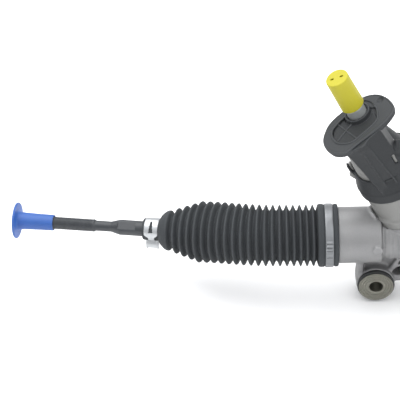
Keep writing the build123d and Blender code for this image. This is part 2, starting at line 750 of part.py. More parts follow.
def make_pinion_shaft():
    """The pinion: toothing, two journals and the socket for the torsion bar."""
    journal_end = LOWER_BEARING_BASE + LOWER_BEARING_WIDTH
    tooth_start = journal_end + TOOTH_RUNOUT
    face = UPPER_BEARING_BASE - PINION_SHOULDER
    shoulder_r = UPPER_BEARING_BORE_R + PINION_SHOULDER_OUT
    with BuildPart() as pinion_shaft:
        outline = [
            (LOWER_BEARING_BASE - 2 * EDGE, 0),
            (LOWER_BEARING_BASE - 2 * EDGE, LOWER_JOURNAL_R - EDGE),
            (LOWER_BEARING_BASE - EDGE, LOWER_JOURNAL_R),
            (journal_end + TOOTH_RUNOUT / 2, LOWER_JOURNAL_R),
            (journal_end + TOOTH_RUNOUT / 2, PINION_ROOT_R),
            (face, PINION_ROOT_R),
            (face, shoulder_r),
            (UPPER_BEARING_BASE, shoulder_r),
            (UPPER_BEARING_BASE, UPPER_BEARING_BORE_R),
            (SHAFT_SPLIT - SHAFT_JOINT_GAP, UPPER_BEARING_BORE_R),
            (SHAFT_SPLIT - SHAFT_JOINT_GAP, 0),
        ]
        turn(outline, PINION_ORIGIN, PINION_AXIS)
        for tooth in range(PINION_TEETH):
            turned = -90 + tooth * 360 / PINION_TEETH
            extrude(tooth_section(tooth_start, turned), amount=face - tooth_start)
        bar_r = TORSION_BAR_R + FIT_GAP
        rod(UPPER_BEARING_BASE, SHAFT_SPLIT, bar_r, PINION_ORIGIN, PINION_AXIS, Mode.SUBTRACT)
    return pinion_shaft


def make_input_shaft():
    """The splined shaft that the steering column clamps on."""
    with BuildPart() as input_shaft:
        outline = [
            (SHAFT_SPLIT, 0),
            (SHAFT_SPLIT, UPPER_BEARING_BORE_R),
            (ROTOR_BASE, UPPER_BEARING_BORE_R),
            (ROTOR_BASE, SHAFT_R),
            (SHAFT_TOP - EDGE, SHAFT_R),
            (SHAFT_TOP, SHAFT_R - EDGE),
            (SHAFT_TOP, 0),
        ]
        turn(outline, PINION_ORIGIN, PINION_AXIS)
        with BuildSketch(tower_section(SPLINE_BOTTOM)) as spaces:
            with PolarLocations(SHAFT_R, SPLINES):
                RegularPolygon(2 * SPLINE_DEPTH, 3, rotation=180)
        extrude(spaces.sketch, amount=SHAFT_TOP - SPLINE_BOTTOM + OVERCUT, mode=Mode.SUBTRACT)
        groove_line = PINION_ORIGIN + PINION_AXIS * CLAMP_GROOVE
        with BuildSketch(section_plane(groove_line, PINION_AXIS)) as groove:
            with Locations((0, SHAFT_R + CLAMP_GROOVE_R / 3)):
                Circle(CLAMP_GROOVE_R)
        revolve(groove.sketch, axis=Axis(PINION_ORIGIN, PINION_AXIS), mode=Mode.SUBTRACT)
        bar_r = TORSION_BAR_R + FIT_GAP
        bore = (SHAFT_SPLIT - OVERCUT, SHAFT_TOP + OVERCUT)
        rod(*bore, bar_r, PINION_ORIGIN, PINION_AXIS, Mode.SUBTRACT)
    return input_shaft


def make_torsion_bar():
    """The thin bar pinned in both shafts, which carries the steering torque."""
    with BuildPart() as torsion_bar:
        bar = (UPPER_BEARING_BASE + EDGE, SHAFT_TOP - BAR_INSET)
        rod(*bar, TORSION_BAR_R, PINION_ORIGIN, PINION_AXIS)
    return torsion_bar


def pinion_ring(start, end, outer, inner):
    """A ring round the pinion axis, as a part of its own."""
    with BuildPart() as piece:
        ring(start, end, outer, inner, PINION_ORIGIN, PINION_AXIS)
    return piece


def bearing_balls():
    """Ball circle radius and the radius of the raceway grooves."""
    middle = (UPPER_BEARING_R + UPPER_BEARING_BORE_R) / 2
    return middle, BEARING_BALL_R + RUNNING_GAP


def make_race(inner, outer):
    """One bearing race, with the ball groove cut into it."""
    middle, groove_r = bearing_balls()
    top = UPPER_BEARING_BASE + UPPER_BEARING_WIDTH
    height = UPPER_BEARING_BASE + UPPER_BEARING_WIDTH / 2
    with BuildPart() as race:
        ring(UPPER_BEARING_BASE, top, outer, inner, PINION_ORIGIN, PINION_AXIS)
        groove_line = PINION_ORIGIN + PINION_AXIS * height
        with BuildSketch(section_plane(groove_line, PINION_AXIS)) as groove:
            with Locations((0, middle)):
                Circle(groove_r)
        revolve(groove.sketch, axis=Axis(PINION_ORIGIN, PINION_AXIS), mode=Mode.SUBTRACT)
    return race


def make_bearing_balls():
    """The ball set, one solid each."""
    middle, _ = bearing_balls()
    height = UPPER_BEARING_BASE + UPPER_BEARING_WIDTH / 2
    with BuildPart() as balls:
        for number in range(BEARING_BALLS):
            angle = 2 * pi * number / BEARING_BALLS
            spot = Vector(middle * cos(angle), middle * sin(angle), height)
            with Locations(TOWER_PLANE.from_local_coords(spot)):
                Sphere(BEARING_BALL_R)
    return balls


def make_needles():
    """The needle rollers of the lower bearing, one solid each."""
    middle = LOWER_JOURNAL_R + RUNNING_GAP / 2 + NEEDLE_R
    with BuildPart() as needles:
        inset = CUP_WALL + NEEDLE_END_GAP
        with BuildSketch(tower_section(LOWER_BEARING_BASE + inset)) as ends:
            with PolarLocations(middle, NEEDLES):
                Circle(NEEDLE_R)
        extrude(ends.sketch, amount=LOWER_BEARING_WIDTH - 2 * inset)
    return needles


def make_needle_cup():
    """The drawn cup that the needles run in, with a turned lip at each end."""
    outer = CUP_BORE_R - FIT_GAP
    lip = LOWER_JOURNAL_R + NEEDLE_R
    top = LOWER_BEARING_BASE + LOWER_BEARING_WIDTH
    outline = [
        (LOWER_BEARING_BASE, lip),
        (LOWER_BEARING_BASE, outer),
        (top, outer),
        (top, lip),
        (top - CUP_WALL, lip),
        (top - CUP_WALL, NEEDLE_TRACK_R),
        (LOWER_BEARING_BASE + CUP_WALL, NEEDLE_TRACK_R),
        (LOWER_BEARING_BASE + CUP_WALL, lip),
    ]
    with BuildPart() as cup:
        turn(outline, PINION_ORIGIN, PINION_AXIS)
    return cup


def make_oil_seal():
    """The lip seal in the nose of the tower."""
    base = TOWER_NOSE_TOP - SEAL_WIDTH
    outer = TOWER_NOSE_R - NOSE_WALL - FIT_GAP
    lip_r = SHAFT_R + RUNNING_GAP
    outline = [
        (base, outer),
        (TOWER_NOSE_TOP, outer),
        (TOWER_NOSE_TOP, lip_r + SEAL_WALL),
        (base + SEAL_LIP, lip_r),
        (base + SEAL_LIP - EDGE, lip_r),
        (base + SEAL_LIP - EDGE, lip_r + SEAL_WALL),
        (base + SEAL_LIP, outer - SEAL_WALL),
        (base, outer - SEAL_WALL),
    ]
    with BuildPart() as seal:
        turn(outline, PINION_ORIGIN, PINION_AXIS)
    return seal


def make_end_plug():
    """The pressed plug that closes the bore under the pinion."""
    bottom = -PINION_BARREL_DEPTH
    outline = [
        (bottom + EDGE, 0),
        (bottom + EDGE, CUP_BORE_R),
        (bottom, CUP_BORE_R),
        (bottom, PLUG_BORE_R - FIT_GAP),
        (bottom + END_PLUG, PLUG_BORE_R - FIT_GAP),
        (bottom + END_PLUG, 0),
    ]
    with BuildPart() as plug:
        turn(outline, PINION_ORIGIN, PINION_AXIS)
    return plug


def make_stator():
    """The fixed sensor ring round the rotor, standing on a skirt in the tower."""
    base = TOWER_SEAT + TOWER_FOOT
    reach = TOWER_R - TOWER_WALL - FIT_GAP
    outline = [
        (ROTOR_BASE, ROTOR_R + STATOR_GAP),
        (ROTOR_BASE, reach - STATOR_SKIRT),
        (base, reach - STATOR_SKIRT),
        (base, reach),
        (ROTOR_BASE + ROTOR_LENGTH, reach),
        (ROTOR_BASE + ROTOR_LENGTH, ROTOR_R + STATOR_GAP),
    ]
    with BuildPart() as stator:
        turn(outline, PINION_ORIGIN, PINION_AXIS)
    return stator


# ---------------------------------------------------------------- yoke
def make_yoke():
    """The guide that presses the rack into mesh, hollowed for its liner and its spring."""
    liner_r = BAR_R + YOKE_LASH + LINER
    pocket = (YOKE_BACK - SPRING_POCKET, YOKE_BACK + OVERCUT)
    pocket_r = SPRING_R + SPRING_POCKET_GAP
    with BuildPart() as yoke:
        rod(YOKE_NOSE, YOKE_BACK, YOKE_R - RUNNING_GAP, YOKE_BASE, FRONT)
        rod(-2 * YOKE_R, 2 * YOKE_R, liner_r, YOKE_BASE, ALONG, Mode.SUBTRACT)
        rod(*pocket, pocket_r, YOKE_BASE, FRONT, Mode.SUBTRACT)
    return yoke


def make_yoke_liner():
    """The sliding liner between the yoke and the back of the rack."""
    inner = BAR_R + YOKE_LASH
    half = YOKE_R - LINER_INSET
    with BuildPart() as yoke_liner:
        ring(-half, half, inner + LINER - FIT_GAP, inner, YOKE_BASE, ALONG)
        with BuildSketch(Plane.XZ.offset(LINER_START)) as round_face:
            with Locations((PINION_X, RACK_HEIGHT)):
                Circle(half)
        extrude(round_face.sketch, amount=2 * YOKE_R, mode=Mode.INTERSECT)
    return yoke_liner


def make_yoke_spring():
    """The coil spring between the yoke and its plug."""
    seat = YOKE_BACK - SPRING_POCKET + SPRING_WIRE_R
    length = SPRING_SPACE - 2 * SPRING_WIRE_R
    centre = YOKE_BASE + FRONT * seat
    with BuildPart() as yoke_spring:
        with BuildLine() as coil:
            Helix(length / SPRING_COILS, length, SPRING_R, center=centre, direction=FRONT)
        with BuildSketch(Plane(origin=coil.line @ 0, z_dir=coil.line % 0)):
            Circle(SPRING_WIRE_R - FIT_GAP)
        sweep(path=coil.line)
    return yoke_spring


def make_yoke_plug():
    """The threaded plug that sets the yoke's play, with a hexagon socket."""
    start = YOKE_BACK - SPRING_POCKET + SPRING_SPACE
    end = max(YOKE_BOSS_FACE + PLUG_PROUD, start + PLUG_LENGTH)
    with BuildPart() as yoke_plug:
        rod(start, end, YOKE_R - FIT_GAP, YOKE_BASE, FRONT)
        with BuildSketch(Plane.XZ.offset(end)) as socket:
            with Locations((PINION_X, RACK_HEIGHT)):
                RegularPolygon(PLUG_HEX / 2, 6)
        extrude(socket.sketch, amount=-PLUG_HEX_DEPTH, mode=Mode.SUBTRACT)
    return yoke_plug


def make_yoke_nut():
    """The lock nut on the yoke plug."""
    with BuildPart() as yoke_nut:
        with BuildSketch(Plane.XZ.offset(YOKE_BOSS_FACE)) as outline:
            with Locations((PINION_X, RACK_HEIGHT)):
                RegularPolygon(YOKE_BOSS_R, 6)
                Circle(YOKE_R, mode=Mode.SUBTRACT)
        extrude(outline.sketch, amount=LOCK_NUT)
    return yoke_nut


# ---------------------------------------------------------------- rack bar
def rack_profile():
    """Outline of the metal cut away between and above the rack teeth, across the pinion axis."""
    pitch = pi * MODULE
    slope = tan(radians(PRESSURE_ANGLE))
    root = RACK_LINE_Y - RACK_DEDENDUM
    tip_half = (pitch / 2 - BACKLASH) / 2 - RACK_ADDENDUM * slope
    root_half = (pitch / 2 - BACKLASH) / 2 + RACK_DEDENDUM * slope
    start = -round(TOOTHED_LEFT / pitch) * pitch
    points = [(start, BAR_R + OVERCUT), (start, root)]
    for tooth in range(RACK_TEETH):
        middle = start + (tooth + 0.5) * pitch
        points += [(middle - root_half, root), (middle - tip_half, TOOTH_TIP_Y)]
        points += [(middle + tip_half, TOOTH_TIP_Y), (middle + root_half, root)]
    end = start + RACK_TEETH * pitch
    return points + [(end, root), (end, BAR_R + OVERCUT)]


def make_rack_bar():
    """The rack: a round bar with teeth cut in line with the pinion and a stud at each end."""
    with BuildPart() as rack_bar:
        left = ball_centre("left")
        stud = BAR_END - STUD_LENGTH
        outline = [
            (stud, 0),
            (stud, BAR_STUD_R - EDGE),
            (stud + EDGE, BAR_STUD_R),
            (BAR_END, BAR_STUD_R),
            (BAR_END, BAR_R - EDGE),
            (BAR_END + EDGE, BAR_R),
            (BALL_SPAN - BAR_END - EDGE, BAR_R),
            (BALL_SPAN - BAR_END, BAR_R - EDGE),
            (BALL_SPAN - BAR_END, BAR_STUD_R),
            (BALL_SPAN - stud - EDGE, BAR_STUD_R),
            (BALL_SPAN - stud, BAR_STUD_R - EDGE),
            (BALL_SPAN - stud, 0),
        ]
        turn(outline, left, ALONG)
        plane = Plane(origin=YOKE_BASE, x_dir=TOWER_PLANE.x_dir, z_dir=PINION_AXIS)
        with BuildSketch(plane) as gaps:
            with BuildLine():
                Polyline(*rack_profile(), close=True)
            make_face()
        extrude(gaps.sketch, amount=TOOTHED_LEFT + BAR_R, both=True, mode=Mode.SUBTRACT)
    return rack_bar


def make_rack_bush():
    """The plastic bush that carries the rack at the end away from the pinion."""
    end = BALL_SPAN - STOP_FACE - RACK_BUSH_INSET
    outer = TUBE_BORE_R - FIT_GAP
    inner = BAR_R + RUNNING_GAP
    with BuildPart() as rack_bush:
        ring(end - RACK_BUSH_LENGTH, end, outer, inner, ball_centre("left"), ALONG)
    return rack_bush


# ---------------------------------------------------------------- ball joints and tie rods
def mouth_cone(side, angle):
    """The flare of the socket's mouth, as wide as the rod's swing needs."""
    depth = 2 * SOCKET_R
    outline = [(0, 0), (depth, 0), (depth, depth * tan(radians(angle)))]
    turn(outline, ball_centre(side), outward(side), Mode.SUBTRACT)


def two_flats(across, radius):
    """Two strips beside a round of a radius, a spanner's width apart."""
    with Locations((0, (across + radius) / 2), (0, -(across + radius) / 2)):
        Rectangle(4 * radius, radius)


def make_socket(side):
    """The inner tie rod socket that screws on the end of the rack."""
    with BuildPart() as socket:
        outline = [
            (-SOCKET_BACK, BAR_STUD_R + FIT_GAP),
            (-SOCKET_BACK, SOCKET_R - EDGE),
            (-SOCKET_BACK + EDGE, SOCKET_R),
            (SOCKET_FACE - SOCKET_EDGE_LENGTH, SOCKET_R),
            (SOCKET_FACE, SOCKET_R - SOCKET_EDGE),
            (SOCKET_FACE, 0),
            (-SOCKET_BACK + STUD_BORE_FLOOR, 0),
            (-SOCKET_BACK + STUD_BORE_FLOOR, BAR_STUD_R + FIT_GAP),
        ]
        turn(outline, ball_centre(side), outward(side))
        with Locations(ball_centre(side)):
            Sphere(CAVITY_R, mode=Mode.SUBTRACT)
        mouth_cone(side, MOUTH_ANGLE)
        back = ball_centre(side) - outward(side) * SOCKET_BACK
        with BuildSketch(Plane(origin=back, z_dir=outward(side))) as flats:
            two_flats(SOCKET_FLATS, SOCKET_R)
        extrude(flats.sketch, amount=SOCKET_FLATS_LENGTH, mode=Mode.SUBTRACT)
    return socket


def make_ball_seat(side):
    """The plastic cup round the ball."""
    with BuildPart() as ball_seat:
        with Locations(ball_centre(side)):
            Sphere(CAVITY_R - FIT_GAP)
            Sphere(BALL_R + RUNNING_GAP, mode=Mode.SUBTRACT)
        mouth_cone(side, MOUTH_ANGLE + SEAT_MOUTH)
        rod(-2 * BALL_R, 0, SEAT_INSET, ball_centre(side), outward(side), Mode.SUBTRACT)
    return ball_seat


def make_lock_washer(side):
    """The washer staked between the rack and the socket."""
    with BuildPart() as washer:
        inner = BAR_STUD_R + FIT_GAP
        ring(-BAR_END, -SOCKET_BACK, WASHER_R, inner, ball_centre(side), outward(side))
    return washer


def make_tie_rod(side):
    """Ball, neck, bellows seat, body with spanner flats, slim shank and threaded end."""
    centre = ball_centre(side)
    direction = rod_direction(side)
    with BuildPart() as tie_rod:
        outline = [
            (0, 0),
            (0, NECK_ROD_R),
            (NECK_ROD_END, NECK_ROD_R),
            (ROD_START, ROD_R),
            (SMALL_CUFF_START - SEAT_RUN, ROD_R),
            (SMALL_CUFF_START - SEAT_RUN + SEAT_CONE, BOOT_SEAT_R),
            (SMALL_CUFF_END + EDGE, BOOT_SEAT_R),
            (BODY_START, BODY_R),
            (BODY_END, BODY_R),
            (BODY_END + BODY_TAPER, SHANK_R),
            (THREAD_START, SHANK_R),
            (THREAD_START + EDGE, THREAD_R),
            (THREAD_END - EDGE, THREAD_R),
            (THREAD_END, THREAD_R - EDGE),
            (THREAD_END, 0),
        ]
        turn(outline, centre, direction)
        with Locations(centre):
            Sphere(BALL_R)
        start = (BODY_START + BODY_END - FLATS_LENGTH) / 2
        across = section_plane(centre, direction).z_dir
        plane = Plane(origin=centre + direction * start, x_dir=across, z_dir=direction)
        with BuildSketch(plane) as flats:
            two_flats(FLATS, BODY_R)
        extrude(flats.sketch, amount=FLATS_LENGTH, mode=Mode.SUBTRACT)
    return tie_rod


# ---------------------------------------------------------------- bellows and clamps
def bellows_centre(side, share):
    """Point and direction of the bellows' centre line: along the rack, then bent to the rod."""
    length = NECK_FACE - FOLDS_START + SMALL_CUFF_START
    walk = share * length - NECK_FACE + FOLDS_START
    along = (walk + BEND_BEFORE) / (BEND_AFTER + BEND_BEFORE)
    along = min(1.0, max(0.0, along))
    blend = along * along * (3 - 2 * along)
    straight = ball_centre(side) + outward(side) * walk
    bent = ball_centre(side) + rod_direction(side) * walk
    direction = outward(side) * (1 - blend) + rod_direction(side) * blend
    return straight * (1 - blend) + bent * blend, direction.normalized()


def fold_radius(share):
    """Ridge radius of the folds, smaller towards the tie rod."""
    if share < FOLD_TAPER_START:
        return FOLD_OUTER_R
    down = (share - FOLD_TAPER_START) / (1 - FOLD_TAPER_START)
    return FOLD_OUTER_R - (FOLD_OUTER_R - FOLD_OUTER_SMALL_R) * down**FOLD_TAPER_POWER


def bellows_rings(side, thinner):
    """Circles along the folds, each smaller by an amount, from the big cuff to the small one."""
    rings = []
    for number in range(2 * FOLDS + 1):
        share = (number + 0.5) / (2 * FOLDS + 1)
        point, direction = bellows_centre(side, share)
        radius = fold_radius(share) - thinner - (0 if number % 2 else FOLD_DEPTH)
        with BuildSketch(Plane(origin=point, z_dir=direction)) as circle:
            Circle(radius)
        rings.append(circle.sketch)
    return rings


def end_circle(origin, direction, radius):
    """A circle across a direction, where the folds meet a cuff."""
    with BuildSketch(Plane(origin=origin, z_dir=direction)) as circle:
        Circle(radius)
    return circle.sketch


def make_bellows(side):
    """Cuff on the casting, folds along a bent centre line and cuff on the tie rod."""
    centre = ball_centre(side)
    direction = rod_direction(side)
    big_start = centre - outward(side) * (NECK_FACE - FOLDS_START + EDGE)
    small_start = centre + direction * SMALL_CUFF_START
    seat_r = BOOT_SEAT_R + SOFT_GAP
    with BuildPart() as bellows:
        cuff_end = NECK_FACE + SPIGOT_LENGTH - EDGE
        cuff_mouth = FOLDS_START - NECK_FACE
        ring(-cuff_end, cuff_mouth, CUFF_R, SPIGOT_R + FIT_GAP, centre, outward(side))
        ring(SMALL_CUFF_START - EDGE, SMALL_CUFF_END, SMALL_CUFF_R, seat_r, centre, direction)
        outer = [end_circle(big_start, outward(side), CUFF_R)]
        outer += bellows_rings(side, 0)
        outer += [end_circle(small_start, direction, SMALL_CUFF_R)]
        loft(outer, ruled=True)
        inner = [end_circle(big_start - outward(side), outward(side), SPIGOT_R + FIT_GAP)]
        inner += bellows_rings(side, BELLOWS_WALL)
        inner += [end_circle(small_start + direction, direction, seat_r)]
        loft(inner, ruled=True, mode=Mode.SUBTRACT)
    return bellows


def make_big_clamp(side):
    """The flat band on the big cuff, with its crimped ear."""
    centre = ball_centre(side)
    middle = NECK_FACE + SPIGOT_LENGTH / 2
    inner = CUFF_R + FIT_GAP
    face = centre - outward(side) * (middle + BIG_CLAMP / 2)
    crimp_x = (CUFF_R + CRIMP_WIDTH / 2) * cos(radians(CRIMP_ANGLE))
    crimp_y = (CUFF_R + CRIMP_WIDTH / 2) * SIDES[side] * sin(radians(CRIMP_ANGLE))
    with BuildPart() as clamp:
        outer = inner + BIG_CLAMP_WALL
        ring(-middle - BIG_CLAMP / 2, -middle + BIG_CLAMP / 2, outer, inner, centre, outward(side))
        with BuildSketch(Plane(origin=face, x_dir=Vector(0, 1, 0), z_dir=outward(side))) as crimp:
            with Locations((crimp_x, crimp_y)):
                Rectangle(CRIMP_WIDTH, CRIMP_LENGTH)
            Circle(inner, mode=Mode.SUBTRACT)
        extrude(crimp.sketch, amount=BIG_CLAMP)
    return clamp


def make_small_clamp(side):
    """The spring band on the small cuff, with its lug underneath."""
    centre = ball_centre(side)
    direction = rod_direction(side)
    middle = (SMALL_CUFF_START + SMALL_CUFF_END) / 2 + SMALL_CLAMP_SHIFT
    inner = SMALL_CUFF_R + SOFT_GAP
    outer = inner + SMALL_CLAMP_WALL
    start = middle - SMALL_CLAMP / 2
    sideways = section_plane(centre, direction).z_dir
    plane = Plane(origin=centre + direction * start, x_dir=sideways, z_dir=direction)
    with BuildPart() as clamp:
        ring(start, start + SMALL_CLAMP, outer, inner, centre, direction)
        with BuildSketch(plane) as lug:
            with Locations((0, -SIDES[side] * (inner + CLAMP_LUG_REACH / 2))):
                Rectangle(CLAMP_LUG, CLAMP_LUG_REACH)
            Circle(inner, mode=Mode.SUBTRACT)
        extrude(lug.sketch, amount=SMALL_CLAMP)
    return clamp


# ---------------------------------------------------------------- bushes and caps
def make_bush_rubber(centre_x):
    """The rubber between sleeve and ear, with a lip in front of the ear."""
    axis_start = Vector(centre_x, 0, 0)
    lip_start = FIT_GAP - EAR_FRONT
    lip_end = -HEAD_FACE - SLEEVE_HEAD - FIT_GAP
    outline = [
        (-EAR_BACK, SLEEVE_R + FIT_GAP),
        (-EAR_BACK, BUSH_OUTER_R - FIT_GAP),
        (lip_start, BUSH_OUTER_R - FIT_GAP),
        (lip_start, RUBBER_LIP_R),
        (lip_end, RUBBER_LIP_R),
        (lip_end, SLEEVE_R + FIT_GAP),
    ]
    with BuildPart() as rubber:
        turn(outline, axis_start, FRONT)
    return rubber


def make_bush_sleeve(centre_x):
    """The steel sleeve with its wide face, bored for the mounting bolt."""
    face = -HEAD_FACE
    outline = [
        (-SLEEVE_LENGTH / 2, MOUNT_BORE_R),
        (-SLEEVE_LENGTH / 2, SLEEVE_R),
        (face - SLEEVE_HEAD, SLEEVE_R),
        (face - SLEEVE_HEAD, SLEEVE_HEAD_R),
        (face - SLEEVE_EDGE, SLEEVE_HEAD_R),
        (face, SLEEVE_HEAD_R - SLEEVE_EDGE),
        (face, MOUNT_BORE_R),
    ]
    with BuildPart() as sleeve:
        turn(outline, Vector(centre_x, 0, 0), FRONT)
    return sleeve


def make_rod_cap(side):
    """The flanged thread protector on the end of the tie rod."""
    inner = THREAD_R + ROD_CAP_PLAY
    step = THREAD_END + FIT_GAP
    outline = [
        (ROD_CAP_START, inner),
        (ROD_CAP_START, inner + ROD_CAP_WALL),
        (ROD_CAP_END - ROD_CAP_DISC, inner + ROD_CAP_WALL + ROD_CAP_FLARE),
        (ROD_CAP_END - ROD_CAP_DISC, ROD_CAP_DISC_R),
        (ROD_CAP_END, ROD_CAP_DISC_R),
        (ROD_CAP_END, 0),
        (ROD_CAP_END - ROD_CAP_DISC, 0),
        (ROD_CAP_END - ROD_CAP_DISC, ROD_CAP_STEP_R),
        (step, ROD_CAP_STEP_R),
        (step, inner),
    ]
    with BuildPart() as rod_cap:
        turn(outline, ball_centre(side), rod_direction(side))
    return rod_cap


def make_shaft_cap():
    """The protective cap pushed over the splines, with two vents in its top."""
    inner = SHAFT_R + SHAFT_CAP_PLAY
    step = SHAFT_TOP + FIT_GAP
    wall_top = SHAFT_CAP_TOP - SHAFT_CAP_LID
    outline = [
        (SHAFT_CAP_BOTTOM, inner),
        (SHAFT_CAP_BOTTOM, SHAFT_CAP_R),
        (SHAFT_CAP_TOP - SHAFT_CAP_EDGE, SHAFT_CAP_R),
        (SHAFT_CAP_TOP, SHAFT_CAP_R - SHAFT_CAP_EDGE),
        (SHAFT_CAP_TOP, 0),
        (wall_top, 0),
        (wall_top, SHAFT_CAP_STEP_R),
        (step, SHAFT_CAP_STEP_R),
        (step, inner),
    ]
    with BuildPart() as shaft_cap:
        turn(outline, PINION_ORIGIN, PINION_AXIS)
        with BuildSketch(tower_section(wall_top - OVERCUT)) as vents:
            with Locations((-VENT_SPACING / 2, 0), (VENT_SPACING / 2, 0)):
                SlotOverall(VENT_LENGTH, VENT_WIDTH)
        extrude(vents.sketch, amount=SHAFT_CAP_LID + 2 * OVERCUT, mode=Mode.SUBTRACT)
    return shaft_cap


# ---------------------------------------------------------------- write every piece
os.makedirs("parts", exist_ok=True)
bearing_middle, _ = bearing_balls()
bearing_top = UPPER_BEARING_BASE + UPPER_BEARING_WIDTH
save(make_gear_housing().part, "gear_housing")
save(make_tower_housing().part, "tower_housing")
save(make_tower_screws().part, "tower_screws")
save(make_dust_cover().part, "dust_cover")
save(make_pinion_shaft().part, "pinion_shaft")
save(make_input_shaft().part, "input_shaft")
save(make_torsion_bar().part, "torsion_bar")
outer_race = make_race(bearing_middle + BEARING_BALL_R / 2, UPPER_BEARING_R - FIT_GAP)
save(outer_race.part, "upper_bearing_outer_race")
inner_race = make_race(UPPER_BEARING_BORE_R + FIT_GAP, bearing_middle - BEARING_BALL_R / 2)
save(inner_race.part, "upper_bearing_inner_race")
save(make_bearing_balls().part, "upper_bearing_balls")
clip_outer = UPPER_BEARING_R - FIT_GAP
clip = pinion_ring(bearing_top, bearing_top + CIRCLIP, clip_outer, UPPER_BEARING_R - BEARING_LEDGE)
save(clip.part, "bearing_circlip")
save(make_needle_cup().part, "lower_bearing_cup")
save(make_needles().part, "lower_bearing_needles")
save(make_oil_seal().part, "pinion_oil_seal")
save(make_end_plug().part, "pinion_end_plug")
rotor = pinion_ring(ROTOR_BASE, ROTOR_BASE + ROTOR_LENGTH, ROTOR_R, SHAFT_R + FIT_GAP)
save(rotor.part, "torque_sensor_rotor")
save(make_stator().part, "torque_sensor_stator")
save(make_yoke().part, "yoke")
save(make_yoke_liner().part, "yoke_liner")
save(make_yoke_spring().part, "yoke_spring")
save(make_yoke_plug().part, "yoke_plug")
save(make_yoke_nut().part, "yoke_lock_nut")
save(make_rack_bar().part, "rack_bar")
save(make_rack_bush().part, "rack_bush")
save(make_shaft_cap().part, "shaft_cap")
for side in SIDES:
    save(make_socket(side).part, f"{side}_socket")
    save(make_ball_seat(side).part, f"{side}_ball_seat")
    save(make_lock_washer(side).part, f"{side}_lock_washer")
    save(make_tie_rod(side).part, f"{side}_tie_rod")
    save(make_bellows(side).part, f"{side}_bellows")
    save(make_big_clamp(side).part, f"{side}_large_clamp")
    save(make_small_clamp(side).part, f"{side}_small_clamp")
    save(make_rod_cap(side).part, f"{side}_thread_cap")
    bush_x = 0 if side == "left" else MOUNT_SPACING
    save(make_bush_rubber(bush_x).part, f"{side}_bush_rubber")
    save(make_bush_sleeve(bush_x).part, f"{side}_bush_sleeve")
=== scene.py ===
"""Rack and pinion steering gear: cast, moulded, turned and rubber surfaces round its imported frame.

Sizes in the classes are millimetres, and become metres where a mesh is written.
"""

import json
import logging
import math
from collections.abc import Callable
from dataclasses import dataclass, replace
from enum import Enum

import bmesh
import bpy
import numpy as np
from mathutils import Matrix, Vector


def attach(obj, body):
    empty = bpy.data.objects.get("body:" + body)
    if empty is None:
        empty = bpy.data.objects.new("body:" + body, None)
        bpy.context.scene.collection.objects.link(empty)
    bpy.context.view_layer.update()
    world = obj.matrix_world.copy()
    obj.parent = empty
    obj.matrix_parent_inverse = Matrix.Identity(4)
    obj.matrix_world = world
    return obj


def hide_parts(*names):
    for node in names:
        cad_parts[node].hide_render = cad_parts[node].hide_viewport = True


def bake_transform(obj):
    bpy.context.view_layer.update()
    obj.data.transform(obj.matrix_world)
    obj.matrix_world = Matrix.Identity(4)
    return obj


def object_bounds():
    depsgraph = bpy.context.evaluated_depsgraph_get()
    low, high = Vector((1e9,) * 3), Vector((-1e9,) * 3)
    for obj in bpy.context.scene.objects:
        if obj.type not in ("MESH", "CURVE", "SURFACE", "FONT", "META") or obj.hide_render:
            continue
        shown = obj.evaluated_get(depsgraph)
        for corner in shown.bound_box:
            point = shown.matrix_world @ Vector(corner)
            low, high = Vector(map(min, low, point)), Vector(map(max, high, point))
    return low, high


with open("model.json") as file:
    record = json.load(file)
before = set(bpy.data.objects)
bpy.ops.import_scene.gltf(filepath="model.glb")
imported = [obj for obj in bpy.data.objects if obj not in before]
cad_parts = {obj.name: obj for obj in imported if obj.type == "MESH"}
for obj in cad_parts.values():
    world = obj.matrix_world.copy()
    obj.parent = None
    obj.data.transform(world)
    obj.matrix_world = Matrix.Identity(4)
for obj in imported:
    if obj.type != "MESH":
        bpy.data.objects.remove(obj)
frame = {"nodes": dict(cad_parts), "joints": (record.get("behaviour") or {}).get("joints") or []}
CAD_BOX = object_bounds()
LOG = logging.getLogger("steering_gear")
MM = 0.001
FULL_TURN = 2 * math.pi
JOINTS = {joint["name"]: joint for joint in frame["joints"]}

Obj = bpy.types.Object
Tree = bpy.types.NodeTree
Socket = bpy.types.NodeSocket
Field = np.ndarray  # a number at each point of a grid, or along one of its sides
Point = tuple[float, ...] | np.ndarray
Outline = list | np.ndarray  # corners in order, each a pair


class Side(Enum):
    """The two ends of the rack."""

    LEFT = "left"
    RIGHT = "right"

    @property
    def sign(self) -> int:
        """-1 at the pinion's end of the rack, 1 at the far end."""
        return -1 if self is Side.LEFT else 1


# -------------------------------------------------------- axes
@dataclass(frozen=True)
class Axes:
    """A right-handed local frame: its origin in mm and its three unit directions."""

    origin: tuple
    first: tuple
    second: tuple
    third: tuple

    @classmethod
    def along(cls, origin: np.ndarray, direction: np.ndarray, hint: tuple) -> "Axes":
        """Axes whose third direction is given.

        Args:
            origin: where the axes start, in mm.
            direction: the third direction.
            hint: the second direction is this vector, squared up to the third.

        Returns:
            The axes.
        """
        third = np.asarray(direction, float) / np.linalg.norm(direction)
        second = np.asarray(hint, float) - np.dot(hint, third) * third
        second /= np.linalg.norm(second)
        return cls(tuple(origin), tuple(np.cross(second, third)), tuple(second), tuple(third))

    def place(self, points: np.ndarray) -> np.ndarray:
        """Turns local points, in mm, into points of the row frame, in mm."""
        return np.asarray(self.origin) + points @ np.array([self.first, self.second, self.third])

    def turn(self, vectors: np.ndarray) -> np.ndarray:
        """Turns local directions into directions of the row frame."""
        return vectors @ np.array([self.first, self.second, self.third])


def joint_point(name: str) -> np.ndarray:
    """Where a joint of the frame lies, in mm."""
    return np.asarray(JOINTS[name]["pos_m"], float) / MM


def joint_axis(name: str) -> np.ndarray:
    """Direction of a joint of the frame."""
    return np.asarray(JOINTS[name]["axis"], float)


